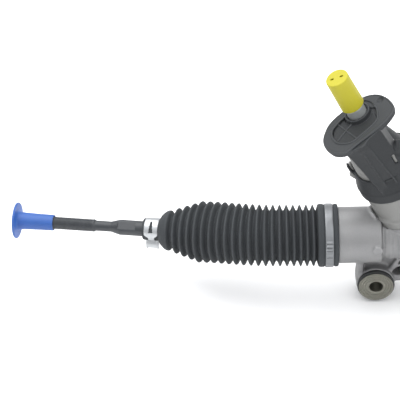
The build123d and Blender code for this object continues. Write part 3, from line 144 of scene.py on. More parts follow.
def ball_centre(side: Side) -> np.ndarray:
    """Centre of an inner ball joint, in mm."""
    return joint_point(f"{side.value}_tie_rod_swing")


CENTRE = (0, 0, 0)
ALONG = (1, 0, 0)
FORWARD = (0, -1, 0)
BACKWARD = (0, 1, 0)
UP = (0, 0, 1)
RACK_LINE = (0, 0, ball_centre(Side.LEFT)[2])
YOKE_LINE = (joint_point("pinion_spin")[0], 0, RACK_LINE[2])
WORLD = Axes(CENTRE, ALONG, BACKWARD, UP)
PINION = Axes.along(joint_point("pinion_spin"), joint_axis("pinion_spin"), BACKWARD)


def rack_axes(side: Side) -> Axes:
    """Axes at an inner ball, with the third one along the rack and away from its middle."""
    return Axes.along(ball_centre(side), (side.sign, 0, 0), UP)


def rod_axes(side: Side) -> Axes:
    """Axes at an inner ball, with the third one along the tie rod."""
    return Axes.along(ball_centre(side), joint_axis(f"{side.value}_tie_rod_spin"), UP)


# -------------------------------------------------------- colours and shader nodes
def linear(code: str) -> tuple[float, float, float, float]:
    """An sRGB hex colour as linear light.

    Args:
        code: six hex digits.

    Returns:
        Red, green, blue and alpha.
    """
    parts = np.array([int(code[i : i + 2], 16) for i in (0, 2, 4)]) / 255
    curve = np.where(parts <= 0.04045, parts / 12.92, ((parts + 0.055) / 1.055) ** 2.4)
    return (*curve.tolist(), 1.0)


def add_node(tree: Tree, kind: str, settings: dict, inputs: dict) -> bpy.types.Node:
    """Adds one shader node.

    Args:
        tree: the material's node tree.
        kind: the node's type name.
        settings: properties of the node.
        inputs: a value or another node's output for each input, by name or number.

    Returns:
        The node.
    """
    made = tree.nodes.new(kind)
    for name, value in settings.items():
        setattr(made, name, value)
    for name, value in inputs.items():
        if isinstance(value, Socket):
            tree.links.new(value, made.inputs[name])
        else:
            made.inputs[name].default_value = value
    return made


def cycles(size_mm: float) -> float:
    """Noise scale, in cycles a metre, of a pattern whose grains are this large."""
    return 1.0 / (size_mm * MM)


def mapped(tree: Tree, value: Socket, given: tuple, wanted: tuple) -> Socket:
    """Carries a value from one range to another, and stops it at the ends.

    Args:
        tree: the node tree.
        value: what is carried.
        given: lowest and highest value of its own range.
        wanted: what they become.

    Returns:
        The new value's output.
    """
    ramp = {"Value": value, "From Min": given[0], "From Max": given[1]}
    ramp |= {"To Min": wanted[0], "To Max": wanted[1]}
    return add_node(tree, "ShaderNodeMapRange", {}, ramp).outputs["Result"]


def mix_colour(tree: Tree, share: Socket, first: Socket | tuple, second: Socket | tuple) -> Socket:
    """Mixes a share of the second colour into the first, and returns the output that gives it."""
    # A colour mix keeps its factor, its two colours and its result in sockets 0, 6, 7 and 2.
    mix = add_node(tree, "ShaderNodeMix", {"data_type": "RGBA"}, {0: share, 6: first, 7: second})
    return mix.outputs[2]


@dataclass(frozen=True)
class Finish:
    """A surface finish: mottled colour, uneven gloss and a fine grain, from sizes in mm.

    The colour swings between the two hex codes with a noise of patch_mm. The roughness swings by
    rough_swing about its value, and grain_mm and grain_depth_mm give the bumps.
    """

    name: str
    colour: str
    colour_low: str
    roughness: float
    metallic: float = 0.0
    ior: float = 1.5
    patch_mm: float = 14.0
    rough_swing: float = 0.06
    grain_mm: float = 0.8
    grain_depth_mm: float = 0.05
    transmission: float = 0.0
    coat: float = 0.0
    edge: str = ""

    def surface(self, tree: Tree, shader: bpy.types.Node) -> None:
        """Links the colour, the roughness and the bumps to the shader.

        Args:
            tree: the material's node tree.
            shader: its surface shader.
        """
        place = add_node(tree, "ShaderNodeTexCoord", {}, {}).outputs["Object"]
        patch = {"Vector": place, "Scale": cycles(self.patch_mm), "Detail": 4.0, "Roughness": 0.6}
        patches = add_node(tree, "ShaderNodeTexNoise", {}, patch).outputs["Fac"]
        grain = {"Vector": place, "Scale": cycles(self.grain_mm), "Detail": 3.0, "Roughness": 0.55}
        grains = add_node(tree, "ShaderNodeTexNoise", {}, grain).outputs["Fac"]
        tint = mix_colour(tree, patches, linear(self.colour_low), linear(self.colour))
        if self.edge:
            tint = self.pale_edges(tree, tint, patches)
        tree.links.new(tint, shader.inputs["Base Color"])
        swing = (self.roughness - self.rough_swing, self.roughness + self.rough_swing)
        gloss = mapped(tree, grains, (0.3, 0.7), swing)
        tree.links.new(gloss, shader.inputs["Roughness"])
        depth = self.grain_depth_mm * MM
        bump = {"Height": self.relief(tree, grains), "Distance": depth, "Strength": 1.0}
        lifted = add_node(tree, "ShaderNodeBump", {}, bump)
        tree.links.new(lifted.outputs["Normal"], shader.inputs["Normal"])

    def pale_edges(self, tree: Tree, tint: Socket, patches: Socket) -> Socket:
        """Lightens the convex edges, by how sharply the surface bends there.

        Args:
            tree: the material's node tree.
            tint: the colour so far.
            patches: a noise that breaks the lightening up.

        Returns:
            The new colour output.
        """
        convex = add_node(tree, "ShaderNodeNewGeometry", {}, {}).outputs["Pointiness"]
        edge = mapped(tree, convex, (0.52, 0.62), (0.0, 0.8))
        broken = add_node(tree, "ShaderNodeMath", {"operation": "MULTIPLY"}, {0: edge, 1: patches})
        return mix_colour(tree, broken.outputs[0], tint, linear(self.edge))

    def relief(self, tree: Tree, grains: Socket) -> Socket:
        """The height that the bump reads: here the grain alone."""
        return grains

    def material(self) -> bpy.types.Material:
        """Builds the material.

        Returns:
            The node-based material, with every constant set on the shader itself.
        """
        made = bpy.data.materials.new(self.name)
        made.use_nodes = True
        tree = made.node_tree
        shader = tree.nodes["Principled BSDF"]
        shader.inputs["Metallic"].default_value = self.metallic
        if not self.metallic:
            shader.inputs["IOR"].default_value = self.ior
        shader.inputs["Transmission Weight"].default_value = self.transmission
        shader.inputs["Coat Weight"].default_value = self.coat
        self.surface(tree, shader)
        return made


@dataclass(frozen=True)
class Turned(Finish):
    """Metal finished on a lathe or by drawing: fine marks round an axis of the row frame."""

    axis: tuple = (0.0, 0.0, 1.0)
    mark_mm: float = 0.9

    def relief(self, tree: Tree, grains: Socket) -> Socket:
        """Adds tool marks: a noise read only along the axis, so it makes rings round it.

        Args:
            tree: the material's node tree.
            grains: the noise of the grain.

        Returns:
            The height's output.
        """
        place = add_node(tree, "ShaderNodeTexCoord", {}, {}).outputs["Object"]
        dot = {0: place, 1: self.axis}
        depth = add_node(tree, "ShaderNodeVectorMath", {"operation": "DOT_PRODUCT"}, dot)
        marks = {"W": depth.outputs["Value"], "Scale": cycles(self.mark_mm), "Detail": 2.0}
        rings = add_node(tree, "ShaderNodeTexNoise", {"noise_dimensions": "1D"}, marks)
        sum_of = {0: rings.outputs["Fac"], 1: grains}
        return add_node(tree, "ShaderNodeMath", {"operation": "ADD"}, sum_of).outputs[0]


# Die-cast aluminium, shot-blasted: mid grey, satin, faintly mottled where the metal flowed.
CAST_ALUMINIUM = Finish(
    "die_cast_aluminium", "949494", "868687", 0.54, metallic=0.65, patch_mm=22, rough_swing=0.07,
    grain_mm=1.1, edge="DCDDDE",
)
# Die-cast aluminium of the tower, blasted finer: flatter and a little warmer.
TOWER_ALUMINIUM = Finish(
    "blasted_tower_aluminium", "8D8D8B", "838381", 0.62, metallic=0.5, patch_mm=30,
    rough_swing=0.05, grain_mm=0.9, grain_depth_mm=0.03, edge="D8D8D6",
)
# Machined aluminium: brighter, with rings from the tool.
MACHINED_ALUMINIUM = Turned(
    "machined_aluminium", "C3C4C4", "B2B3B4", 0.32, metallic=1.0, axis=BACKWARD,
    grain_depth_mm=0.02,
)
# Ground steel of the input shaft: bright, with marks round its axis.
GROUND_STEEL = Turned(
    "ground_steel", "C2C6C5", "A8ACAB", 0.4, metallic=0.55, axis=PINION.third, grain_depth_mm=0.02,
)
# Induction-hardened and polished steel of the rack: a clear, darker shine, with marks round it.
RACK_STEEL = Turned(
    "hardened_rack_steel", "A6A8AA", "94979A", 0.22, metallic=1.0, axis=ALONG, grain_depth_mm=0.01,
)
# Bearing steel, hardened and honed: the brightest metal here.
BEARING_STEEL = Finish(
    "bearing_steel", "C9CACC", "BCBEC1", 0.14, metallic=1.0, rough_swing=0.03, grain_depth_mm=0.005,
)
# Spring steel, blued by its heat treatment: a dark, cool sheen.
SPRING_STEEL = Finish(
    "blued_spring_steel", "6E7072", "585A5E", 0.35, metallic=1.0, grain_depth_mm=0.01,
)
# Zinc-plated steel, clear passivated: a pale, slightly uneven shine.
ZINC_STEEL = Finish(
    "zinc_plated_steel", "C6C8C8", "AEB1B3", 0.28, metallic=1.0, patch_mm=6, grain_mm=1.4,
    grain_depth_mm=0.02,
)
# Stainless strip of the small clamps, rolled: bright, with a short, broken gleam.
BAND_STEEL = Finish(
    "rolled_band_steel", "C0C2C4", "AAADAF", 0.36, metallic=0.75, patch_mm=5, grain_mm=1.6,
    grain_depth_mm=0.02,
)
# The same strip on the large clamps, tumbled: duller and darker.
DULL_BAND_STEEL = replace(
    BAND_STEEL, name="dull_band_steel", colour="85878A", colour_low="787A7C", roughness=0.42,
    metallic=0.6,
)
# Phosphated and oiled steel of the tie rods: near black with a satin sheen.
PHOSPHATED_STEEL = Finish(
    "phosphated_steel", "34373B", "282B2F", 0.44, patch_mm=7, grain_mm=0.7, grain_depth_mm=0.04,
    coat=0.06, edge="5C6064",
)
# Steel of the bushes, zinc-nickel plated and passivated: olive, with paler rings.
OLIVE_STEEL = Finish(
    "olive_zinc_nickel_steel", "8A8980", "74736A", 0.42, metallic=0.9, patch_mm=4, rough_swing=0.08,
    grain_mm=0.9, grain_depth_mm=0.03, edge="C2C1B2",
)
# Chloroprene rubber of the bellows: dark, matte, with a faint bloom.
BELLOWS_RUBBER = Finish(
    "chloroprene_bellows_rubber", "3A3D40", "333638", 0.78, ior=1.4, patch_mm=25, grain_mm=0.9,
    grain_depth_mm=0.03, edge="5E6163",
)
# Natural rubber of the bushes and the shaft's seal, moulded: black and matte.
BUSH_RUBBER = Finish("natural_bush_rubber", "333434", "292A2A", 0.7)
# Glass-filled polyamide, moulded with a spark-eroded grain: dark grey, satin, paler at its edges.
COVER_POLYAMIDE = Finish(
    "glass_filled_polyamide", "3A3C3E", "343638", 0.58, ior=1.34, patch_mm=30, rough_swing=0.08,
    grain_mm=0.7, grain_depth_mm=0.04, edge="6A6D70",
)
# The same polyamide on the cover's walls, darker: painted shade where they face from the light.
COVER_WALL_PAINTED_SHADE = replace(
    COVER_POLYAMIDE, name="painted_shade_wall_polyamide", colour="2F3133", colour_low="292B2D",
    roughness=0.56,
)
# Acetal of the ball seats, liner and bush: milky white and smooth.
ACETAL = Finish("white_acetal", "E6E4DC", "DBD8CE", 0.38, grain_depth_mm=0.01)
# Polybutylene of the torque sensor, moulded: dark grey and even.
SENSOR_PLASTIC = Finish("sensor_polybutylene", "303236", "26282B", 0.5, grain_depth_mm=0.03)
# Low-density polyethylene of the thread caps, moulded thin: waxy, and it lets light through.
BLUE_POLYETHYLENE = Finish(
    "blue_polyethylene", "386EC0", "3060B2", 0.5, ior=1.51, transmission=0.35, patch_mm=12,
    grain_depth_mm=0.02,
)
# The shaft's cap, of the same plastic with more pigment: waxy and opaque.
YELLOW_POLYETHYLENE = Finish(
    "yellow_polyethylene", "B4AE20", "AAA01C", 0.55, ior=1.51, patch_mm=12, grain_depth_mm=0.02,
)


class Paint:
    """Keeps one material for each finish."""

    made: dict = {}

    @classmethod
    def on(cls, piece: Obj, finish: Finish) -> Obj:
        """Gives a piece its finish.

        Args:
            piece: a mesh object.
            finish: the finish, whose material is built the first time it is asked for.

        Returns:
            The piece.
        """
        if finish.name not in cls.made:
            cls.made[finish.name] = finish.material()
        if piece.material_slots:
            for place in piece.material_slots:
                place.material = cls.made[finish.name]
        else:
            piece.data.materials.append(cls.made[finish.name])
        return piece


def ship(piece: Obj, finish: Finish, body: str, *nodes: str, slot: str) -> None:
    """Dresses a piece and puts it on its CAD body.

    Args:
        piece: the finished piece.
        finish: its finish.
        body: the body it rides on.
        nodes: the CAD nodes that it stands for.
        slot: the material slot of the record; not used.
    """
    Paint.on(piece, finish)
    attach(piece, body)
    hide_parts(*nodes)
    LOG.info("%s: %d faces on %s", piece.name, len(piece.data.polygons), body)


# -------------------------------------------------------- meshes from arrays
def new_piece(name: str, points: np.ndarray, faces: np.ndarray, merge: bool = True) -> Obj:
    """Makes an object from points in mm and quads.

    Args:
        name: the piece's name.
        points: an array of points, three numbers each.
        faces: an array of quads.
        merge: True closes seams and poles and turns the faces outward.

    Returns:
        The object, at the origin, shaded smooth.
    """
    mesh = bpy.data.meshes.new(name)
    mesh.from_pydata((points.reshape(-1, 3) * MM).tolist(), [], faces.tolist())
    if merge:
        work = bmesh.new()
        work.from_mesh(mesh)
        bmesh.ops.remove_doubles(work, verts=work.verts, dist=2e-6)
        bmesh.ops.dissolve_degenerate(work, edges=work.edges, dist=1e-7)
        bmesh.ops.recalc_face_normals(work, faces=work.faces)
        work.to_mesh(mesh)
        work.free()
    mesh.shade_smooth()
    made = bpy.data.objects.new(name, mesh)
    bpy.context.scene.collection.objects.link(made)
    return made


def grid_faces(rows: int, columns: int, wrap_rows: bool, wrap_columns: bool) -> np.ndarray:
    """Quads of a grid of points: each joins two neighbouring rows and columns.

    Args:
        rows: how many rows the grid has.
        columns: how many points a row has.
        wrap_rows: True joins the last row to the first.
        wrap_columns: True joins the last column to the first.

    Returns:
        An array of quads.
    """
    row = np.arange(rows if wrap_rows else rows - 1)
    column = np.arange(columns if wrap_columns else columns - 1)
    a, b = np.meshgrid(row, column, indexing="ij")
    after_a, after_b = (a + 1) % rows, (b + 1) % columns
    here, after = a * columns, after_a * columns
    return np.stack([here + b, here + after_b, after + after_b, after + b], axis=-1).reshape(-1, 4)


def sharpen(piece: Obj, degrees: float = 32.0) -> Obj:
    """Keeps edges over an angle crisp, and lets large faces set the shading.

    Args:
        piece: the piece.
        degrees: the angle.

    Returns:
        The piece.
    """
    piece.data.set_sharp_from_angle(angle=math.radians(degrees))
    facing = piece.modifiers.new("Facing", "WEIGHTED_NORMAL")
    facing.keep_sharp = True
    return piece


def softened(outline: Outline, radius: float, steps: int = 4, closed: bool = True) -> np.ndarray:
    """Rounds the corners of an outline.

    Each corner becomes a quadratic curve that starts before it and ends after it, by the radius or
    by 0.45 of the shorter side there, whichever is less.

    Args:
        outline: the corners in order.
        radius: how far from its corner each curve starts, in mm.
        steps: how many points a curve has, less one.
        closed: False leaves the first and last points as they are.

    Returns:
        The rounded outline.
    """
    corner = np.asarray(outline, float)
    before, after = np.roll(corner, 1, axis=0) - corner, np.roll(corner, -1, axis=0) - corner
    side_before = np.linalg.norm(before, axis=1, keepdims=True) + 1e-9
    side_after = np.linalg.norm(after, axis=1, keepdims=True) + 1e-9
    reach = np.minimum(radius, 0.45 * np.minimum(side_before, side_after))
    start, end = corner + before / side_before * reach, corner + after / side_after * reach
    t = np.linspace(0, 1, steps + 1)[None, :, None]
    curves = (1 - t) ** 2 * start[:, None] + 2 * t * (1 - t) * corner[:, None] + t**2 * end[:, None]
    if closed:
        return curves.reshape(-1, corner.shape[1])
    middle = curves[1:-1].reshape(-1, corner.shape[1])
    return np.concatenate([corner[:1], middle, corner[-1:]])


def round_points(radius: Field, angle: Field, along: Field | float) -> np.ndarray:
    """Local points (radius by cosine, radius by sine, along), spread over each other's grids."""
    across = radius * np.cos(angle), radius * np.sin(angle)
    return np.stack(np.broadcast_arrays(*across, along), axis=-1)


def lathe(
    name: str, outline: Outline, axes: Axes, radius: float, segments: int = 96, closed: bool = True
) -> Obj:
    """Turns an outline of (distance along, radius) points round the third axis.

    A point of the surface is the outline's point at one parameter, carried round the circle of its
    radius by the other.

    Args:
        name: the piece's name.
        outline: corners of the section in mm.
        axes: the axes that it is turned on.
        radius: rounding of the corners.
        segments: points round the circle.
        closed: False for an outline that starts and ends on the axis.

    Returns:
        The piece.
    """
    line = softened(outline, radius, closed=closed)
    angle = np.arange(segments) / segments * FULL_TURN
    points = axes.place(round_points(line[:, 1:], angle, line[:, :1]))
    return sharpen(new_piece(name, points, grid_faces(len(line), segments, closed, True)))


# -------------------------------------------------------- castings and mouldings
class Solid:
    """A cast or moulded body, held as its signed distance, in mm, on a grid of local axes.

    Fillets between a boss, a web and a barrel aren't one surface of two parameters, so these
    bodies are joined as distances: the lesser of two distances, blended where they are nearly
    equal, is their union with a fillet. The skin is then taken off where the distance is zero.
    """

    def __init__(self, low: tuple, high: tuple, step: float) -> None:
        """Starts empty.

        Args:
            low: lowest corner of the grid.
            high: highest corner of the grid.
            step: spacing of the grid.
        """
        far_outside = 1e3
        self.low, self.step = np.asarray(low, float), step
        ticks = [np.arange(a, b + step, step, dtype=np.float32) for a, b in zip(low, high)]
        self.x, self.y, self.z = np.meshgrid(*ticks, indexing="ij", sparse=True)
        self.value = np.full([len(tick) for tick in ticks], far_outside, np.float32)

    def add(self, distance: Field, fillet: float = 0.0) -> "Solid":
        """Joins a shape, with a fillet of about that radius where it meets what is there."""
        self.value = blended(self.value, distance, fillet)
        return self

    def cut(self, distance: Field, fillet: float = 0.0) -> "Solid":
        """Takes a shape away, with edges rounded by about that radius."""
        self.value = -blended(-self.value, distance, fillet)
        return self

    def keep(self, distance: Field) -> "Solid":
        """Keeps only what lies inside a shape."""
        self.value = np.maximum(self.value, distance)
        return self

    def bar(
        self, origin: Point, direction: Point, start: float, end: float, radius: float,
        end_radius: float | None = None, edge: float = 0.0,
    ) -> Field:
        """Distance to a round bar or cone.

        With the distance along its axis and the distance out from it, the bar is where both the
        side's distance and the ends' distance are below zero.

        Args:
            origin: a point on the axis.
            direction: unit direction of the axis.
            start: where the bar starts along it.
            end: where it ends.
            radius: radius at the start.
            end_radius: radius at the end, if it is a cone.
            edge: rounding of its edges.

        Returns:
            The distance at each point of the grid.
        """
        end_radius = radius if end_radius is None else end_radius
        dx, dy, dz = self.x - origin[0], self.y - origin[1], self.z - origin[2]
        along = dx * direction[0] + dy * direction[1] + dz * direction[2]
        out = np.sqrt(np.maximum(dx * dx + dy * dy + dz * dz - along * along, 0))
        slope = (end_radius - radius) / (end - start)
        side = (out - radius - slope * (along - start)) / math.hypot(1, slope)
        return both(side, np.maximum(start - along, along - end), edge)

    def prism(
        self, u: Field, v: Field, w: Field, outline: Outline, low: float, high: float,
        edge: float = 0.0,
    ) -> Field:
        """Distance to an outline in the plane of u and v, carried along w from low to high."""
        return both(outline_distance(u, v, outline), np.maximum(low - w, w - high), edge)

    def rib(
        self, u: Field, v: Field, w: Field, start: Point, end: Point, width: float,
        low: float, high: float, edge: float = 1.0,
    ) -> Field:
        """Distance to a straight rib between two points of the plane of u and v, carried along w."""
        side = line_distance(u, v, start, end) - width / 2
        return both(side, np.maximum(low - w, w - high), edge)

    def piece(self, name: str, axes: Axes = WORLD) -> Obj:
        """Takes the skin off and makes it a piece.

        A cell whose corners lie on both sides of zero gets one point, at the mean of the places
        where its edges cross zero, and each grid edge that crosses zero gets a quad between the
        four cells round it. The shading follows the slope of the distance.

        Args:
            name: the piece's name.
            axes: the axes that the grid is in.

        Returns:
            The piece.
        """
        points, normals, faces = net(self.value)
        points = axes.place(points * self.step + self.low)
        made = new_piece(name, points, faces, merge=False)
        made.data.normals_split_custom_set_from_vertices(axes.turn(normals).tolist())
        return made


def both(side: Field, cap: Field, edge: float) -> Field:
    """Distance to what two shapes share, with a rounded edge where their skins meet.

    Both distances are raised by the rounding. Where both are then above zero the distance is the
    root of the sum of their squares, and elsewhere it is the greater one.

    Args:
        side: distance to the first shape.
        cap: distance to the second shape.
        edge: the rounding.

    Returns:
        The distance.
    """
    side, cap = side + edge, cap + edge
    outside = np.hypot(np.maximum(side, 0), np.maximum(cap, 0))
    return np.minimum(np.maximum(side, cap), 0) + outside - edge


def blended(a: Field, b: Field, reach: float) -> Field:
    """The lesser of two distances, less a bump that is highest where they are equal.

    Args:
        a: the first distance.
        b: the second distance.
        reach: how different they may be for the bump to show.

    Returns:
        The blended distance.
    """
    if not reach:
        return np.minimum(a, b)
    near = np.maximum(reach - np.abs(a - b), 0)
    return np.minimum(a, b) - near * near / (4 * reach)


def line_distance(u: Field, v: Field, start: Point, end: Point) -> Field:
    """Distance from points to a straight line between two ends.

    Args:
        u: first coordinate of the points.
        v: second coordinate.
        start: one end.
        end: the other end.

    Returns:
        The distance.
    """
    side_u, side_v = end[0] - start[0], end[1] - start[1]
    share = (u - start[0]) * side_u + (v - start[1]) * side_v
    share = np.clip(share / (side_u * side_u + side_v * side_v), 0, 1)
    return np.hypot(u - start[0] - share * side_u, v - start[1] - share * side_v)


def outline_distance(u: Field, v: Field, outline: Outline) -> Field:
    """Signed distance from points to a closed outline.

    It is the least distance to any side, below zero where a ray crosses an odd number of sides.

    Args:
        u: first coordinate of the points.
        v: second coordinate.
        outline: corners in order, each a pair.

    Returns:
        The distance.
    """
    nearest, inside = np.float32(1e6), False
    for (au, av), (bu, bv) in zip(outline, [*outline[1:], outline[0]]):
        nearest = np.minimum(nearest, line_distance(u, v, (au, av), (bu, bv)))
        straddles = (av > v) != (bv > v)
        crossing = au + (v - av) * (bu - au) / (bv - av + 1e-9)
        inside = inside ^ (straddles & (u < crossing))
    return np.where(inside, -nearest, nearest).astype(np.float32)


def net(value: Field) -> tuple[np.ndarray, np.ndarray, np.ndarray]:
    """Finds the zero surface of a grid of distances.

    A point is the mean of the crossings on its cell's twelve edges, each found in proportion to
    the distances at the edge's ends. Its normal is the slope of the distance, mixed from the
    cell's eight corners by how near they are.

    Args:
        value: the distances.

    Returns:
        The points, in grid steps, the normals and the quads.
    """
    ends = (0, 1)
    corners = np.array([(i, j, k) for i in ends for j in ends for k in ends])
    inside = value < 0
    size = np.array(inside.shape) - 1
    count = sum(
        inside[i : i + size[0], j : j + size[1], k : k + size[2]].astype(np.int8)
        for i, j, k in corners
    )
    cells = np.argwhere((count > 0) & (count < 8))
    at = cells[:, None] + corners
    found = value[at[..., 0], at[..., 1], at[..., 2]]
    pairs = [(a, b) for a in range(8) for b in range(a + 1, 8)]
    edges = np.array([(a, b) for a, b in pairs if (corners[a] != corners[b]).sum() == 1])
    first, second = found[:, edges[:, 0]], found[:, edges[:, 1]]
    crosses = (first < 0) != (second < 0)
    share = np.where(crosses, first / np.where(crosses, first - second, 1), 0)
    spots = corners[edges[:, 0]] + share[..., None] * (corners[edges[:, 1]] - corners[edges[:, 0]])
    within = (spots * crosses[..., None]).sum(1) / crosses.sum(1, keepdims=True)
    slopes = np.stack([slope_at(value, at, axis) for axis in range(3)], axis=-1)
    weights = np.prod(np.where(corners[None] == 1, within[:, None], 1 - within[:, None]), axis=-1)
    normals = (slopes * weights[..., None]).sum(1)
    normals /= np.linalg.norm(normals, axis=1, keepdims=True) + 1e-9
    number = np.full(count.shape, -1, np.int64)
    number[cells[:, 0], cells[:, 1], cells[:, 2]] = np.arange(len(cells))
    faces = np.concatenate([face_loops(inside, number, axis) for axis in range(3)])
    return cells + within, normals, faces


def slope_at(value: Field, at: np.ndarray, axis: int) -> np.ndarray:
    """Central difference of the distance along one axis.

    Args:
        value: the distances.
        at: the grid corners that are asked about.
        axis: 0, 1 or 2.

    Returns:
        The difference at each corner.
    """
    ahead, behind = at.copy(), at.copy()
    ahead[..., axis] = np.minimum(ahead[..., axis] + 1, value.shape[axis] - 1)
    behind[..., axis] = np.maximum(behind[..., axis] - 1, 0)
    here = value[ahead[..., 0], ahead[..., 1], ahead[..., 2]]
    return here - value[behind[..., 0], behind[..., 1], behind[..., 2]]


def face_loops(inside: np.ndarray, number: np.ndarray, axis: int) -> np.ndarray:
    """Quads across the grid edges along one axis that cross zero, facing outward.

    Args:
        inside: which grid corners lie inside.
        number: the point's number in each cell.
        axis: the edges' axis.

    Returns:
        An array of quads.
    """
    order = [(axis + step) % 3 for step in range(3)] if axis != 2 else (2, 0, 1)
    turned, cells = np.transpose(inside, order), np.transpose(number, order)
    edge = turned[1:, 1:-1, 1:-1] != turned[:-1, 1:-1, 1:-1]
    leaves = turned[:-1, 1:-1, 1:-1] & edge
    i, j, k = np.nonzero(edge)
    near, far = (j, j + 1), (k, k + 1)
    round_it = ((0, 0), (1, 0), (1, 1), (0, 1))
    loop = np.stack([cells[i, near[a], far[b]] for a, b in round_it], axis=-1)
    forward = leaves[i, j, k]
    loop[~forward] = loop[~forward][:, ::-1]
    return loop


# -------------------------------------------------------- housing, tower and cover
@dataclass(frozen=True)
class Ear:
    """A mounting ear of the housing: a bush boss, and the webs and ribs up to the tube.

    Places in the web are counted along the rack and up, from the bolt's axis.
    """

    centre: float
    reach: float
    boss: float = 20.5
    bore: float = 17.5
    front: float = -14.0
    back: float = 18.0
    plate: float = 7.0
    slope: float = 20.0
    wall: float = 6.5
    rib: float = 5.0
    rib_half: float = 9.0
    under: float = 2.0
    root: float = 55.0
    corner: float = 18.0
    window_at: tuple = (28.0, 13.5)
    window_turn: float = 25.0
    window_half: float = 4.0
    window_radius: float = 5.8
    window_rim: float = 8.4

    def onto(self, solid: Solid) -> None:
        """Adds the ear to a casting.

        Args:
            solid: the casting, in the row frame.
        """
        x, y, z, bolt = solid.x - self.centre, solid.y, solid.z, (self.centre, 0, 0)
        half, low = self.plate / 2, -self.under
        solid.add(solid.bar(bolt, BACKWARD, self.front, self.back, self.boss, edge=1.2), 5)
        corner, foot = (self.reach, self.corner), (self.reach - self.slope, low)
        root = [(-self.boss, self.root), (self.reach, self.root)]
        sheet = [(-self.boss, 0), *root, corner, foot, (0, low)]
        solid.add(solid.prism(x, z, y, sheet, -half, half), 5)
        side = [(-14, -4), (-14.5, 16), (-21, 42), (-24, 60), (12, 60), (12, -4)]
        solid.add(solid.prism(y, z, x, side, -self.boss, -self.boss + self.wall, 1.2), 4)
        window = line_distance(x, z, *self.window()) - self.window_rim
        solid.add(np.maximum(window, np.abs(y - 3.0) - 12.0), 2)
        level = low + self.rib / 2
        ribs = [((13, 9), (38, 50)), ((0, level), (foot[0], level)), (foot, corner)]
        for start, end in ribs:
            solid.add(solid.rib(x, z, y, start, end, self.rib, -self.rib_half, self.rib_half), 3)

    def window(self) -> tuple[np.ndarray, np.ndarray]:
        """Ends of the oblong window's centre line, from the bolt's axis.

        Returns:
            The two ends.
        """
        turn = math.radians(self.window_turn)
        reach = self.window_half * np.array([math.cos(turn), math.sin(turn)])
        return self.window_at - reach, self.window_at + reach

    def cut_from(self, solid: Solid) -> None:
        """Cuts the bush's bore and the web's window.

        Args:
            solid: the casting, in the row frame.
        """
        hole = line_distance(solid.x - self.centre, solid.z, *self.window()) - self.window_radius
        solid.cut(np.maximum(hole, solid.y - self.rib_half), 1)
        bolt, past = (self.centre, 0, 0), 9
        solid.cut(solid.bar(bolt, BACKWARD, self.front - past, self.back + past, self.bore), 1)


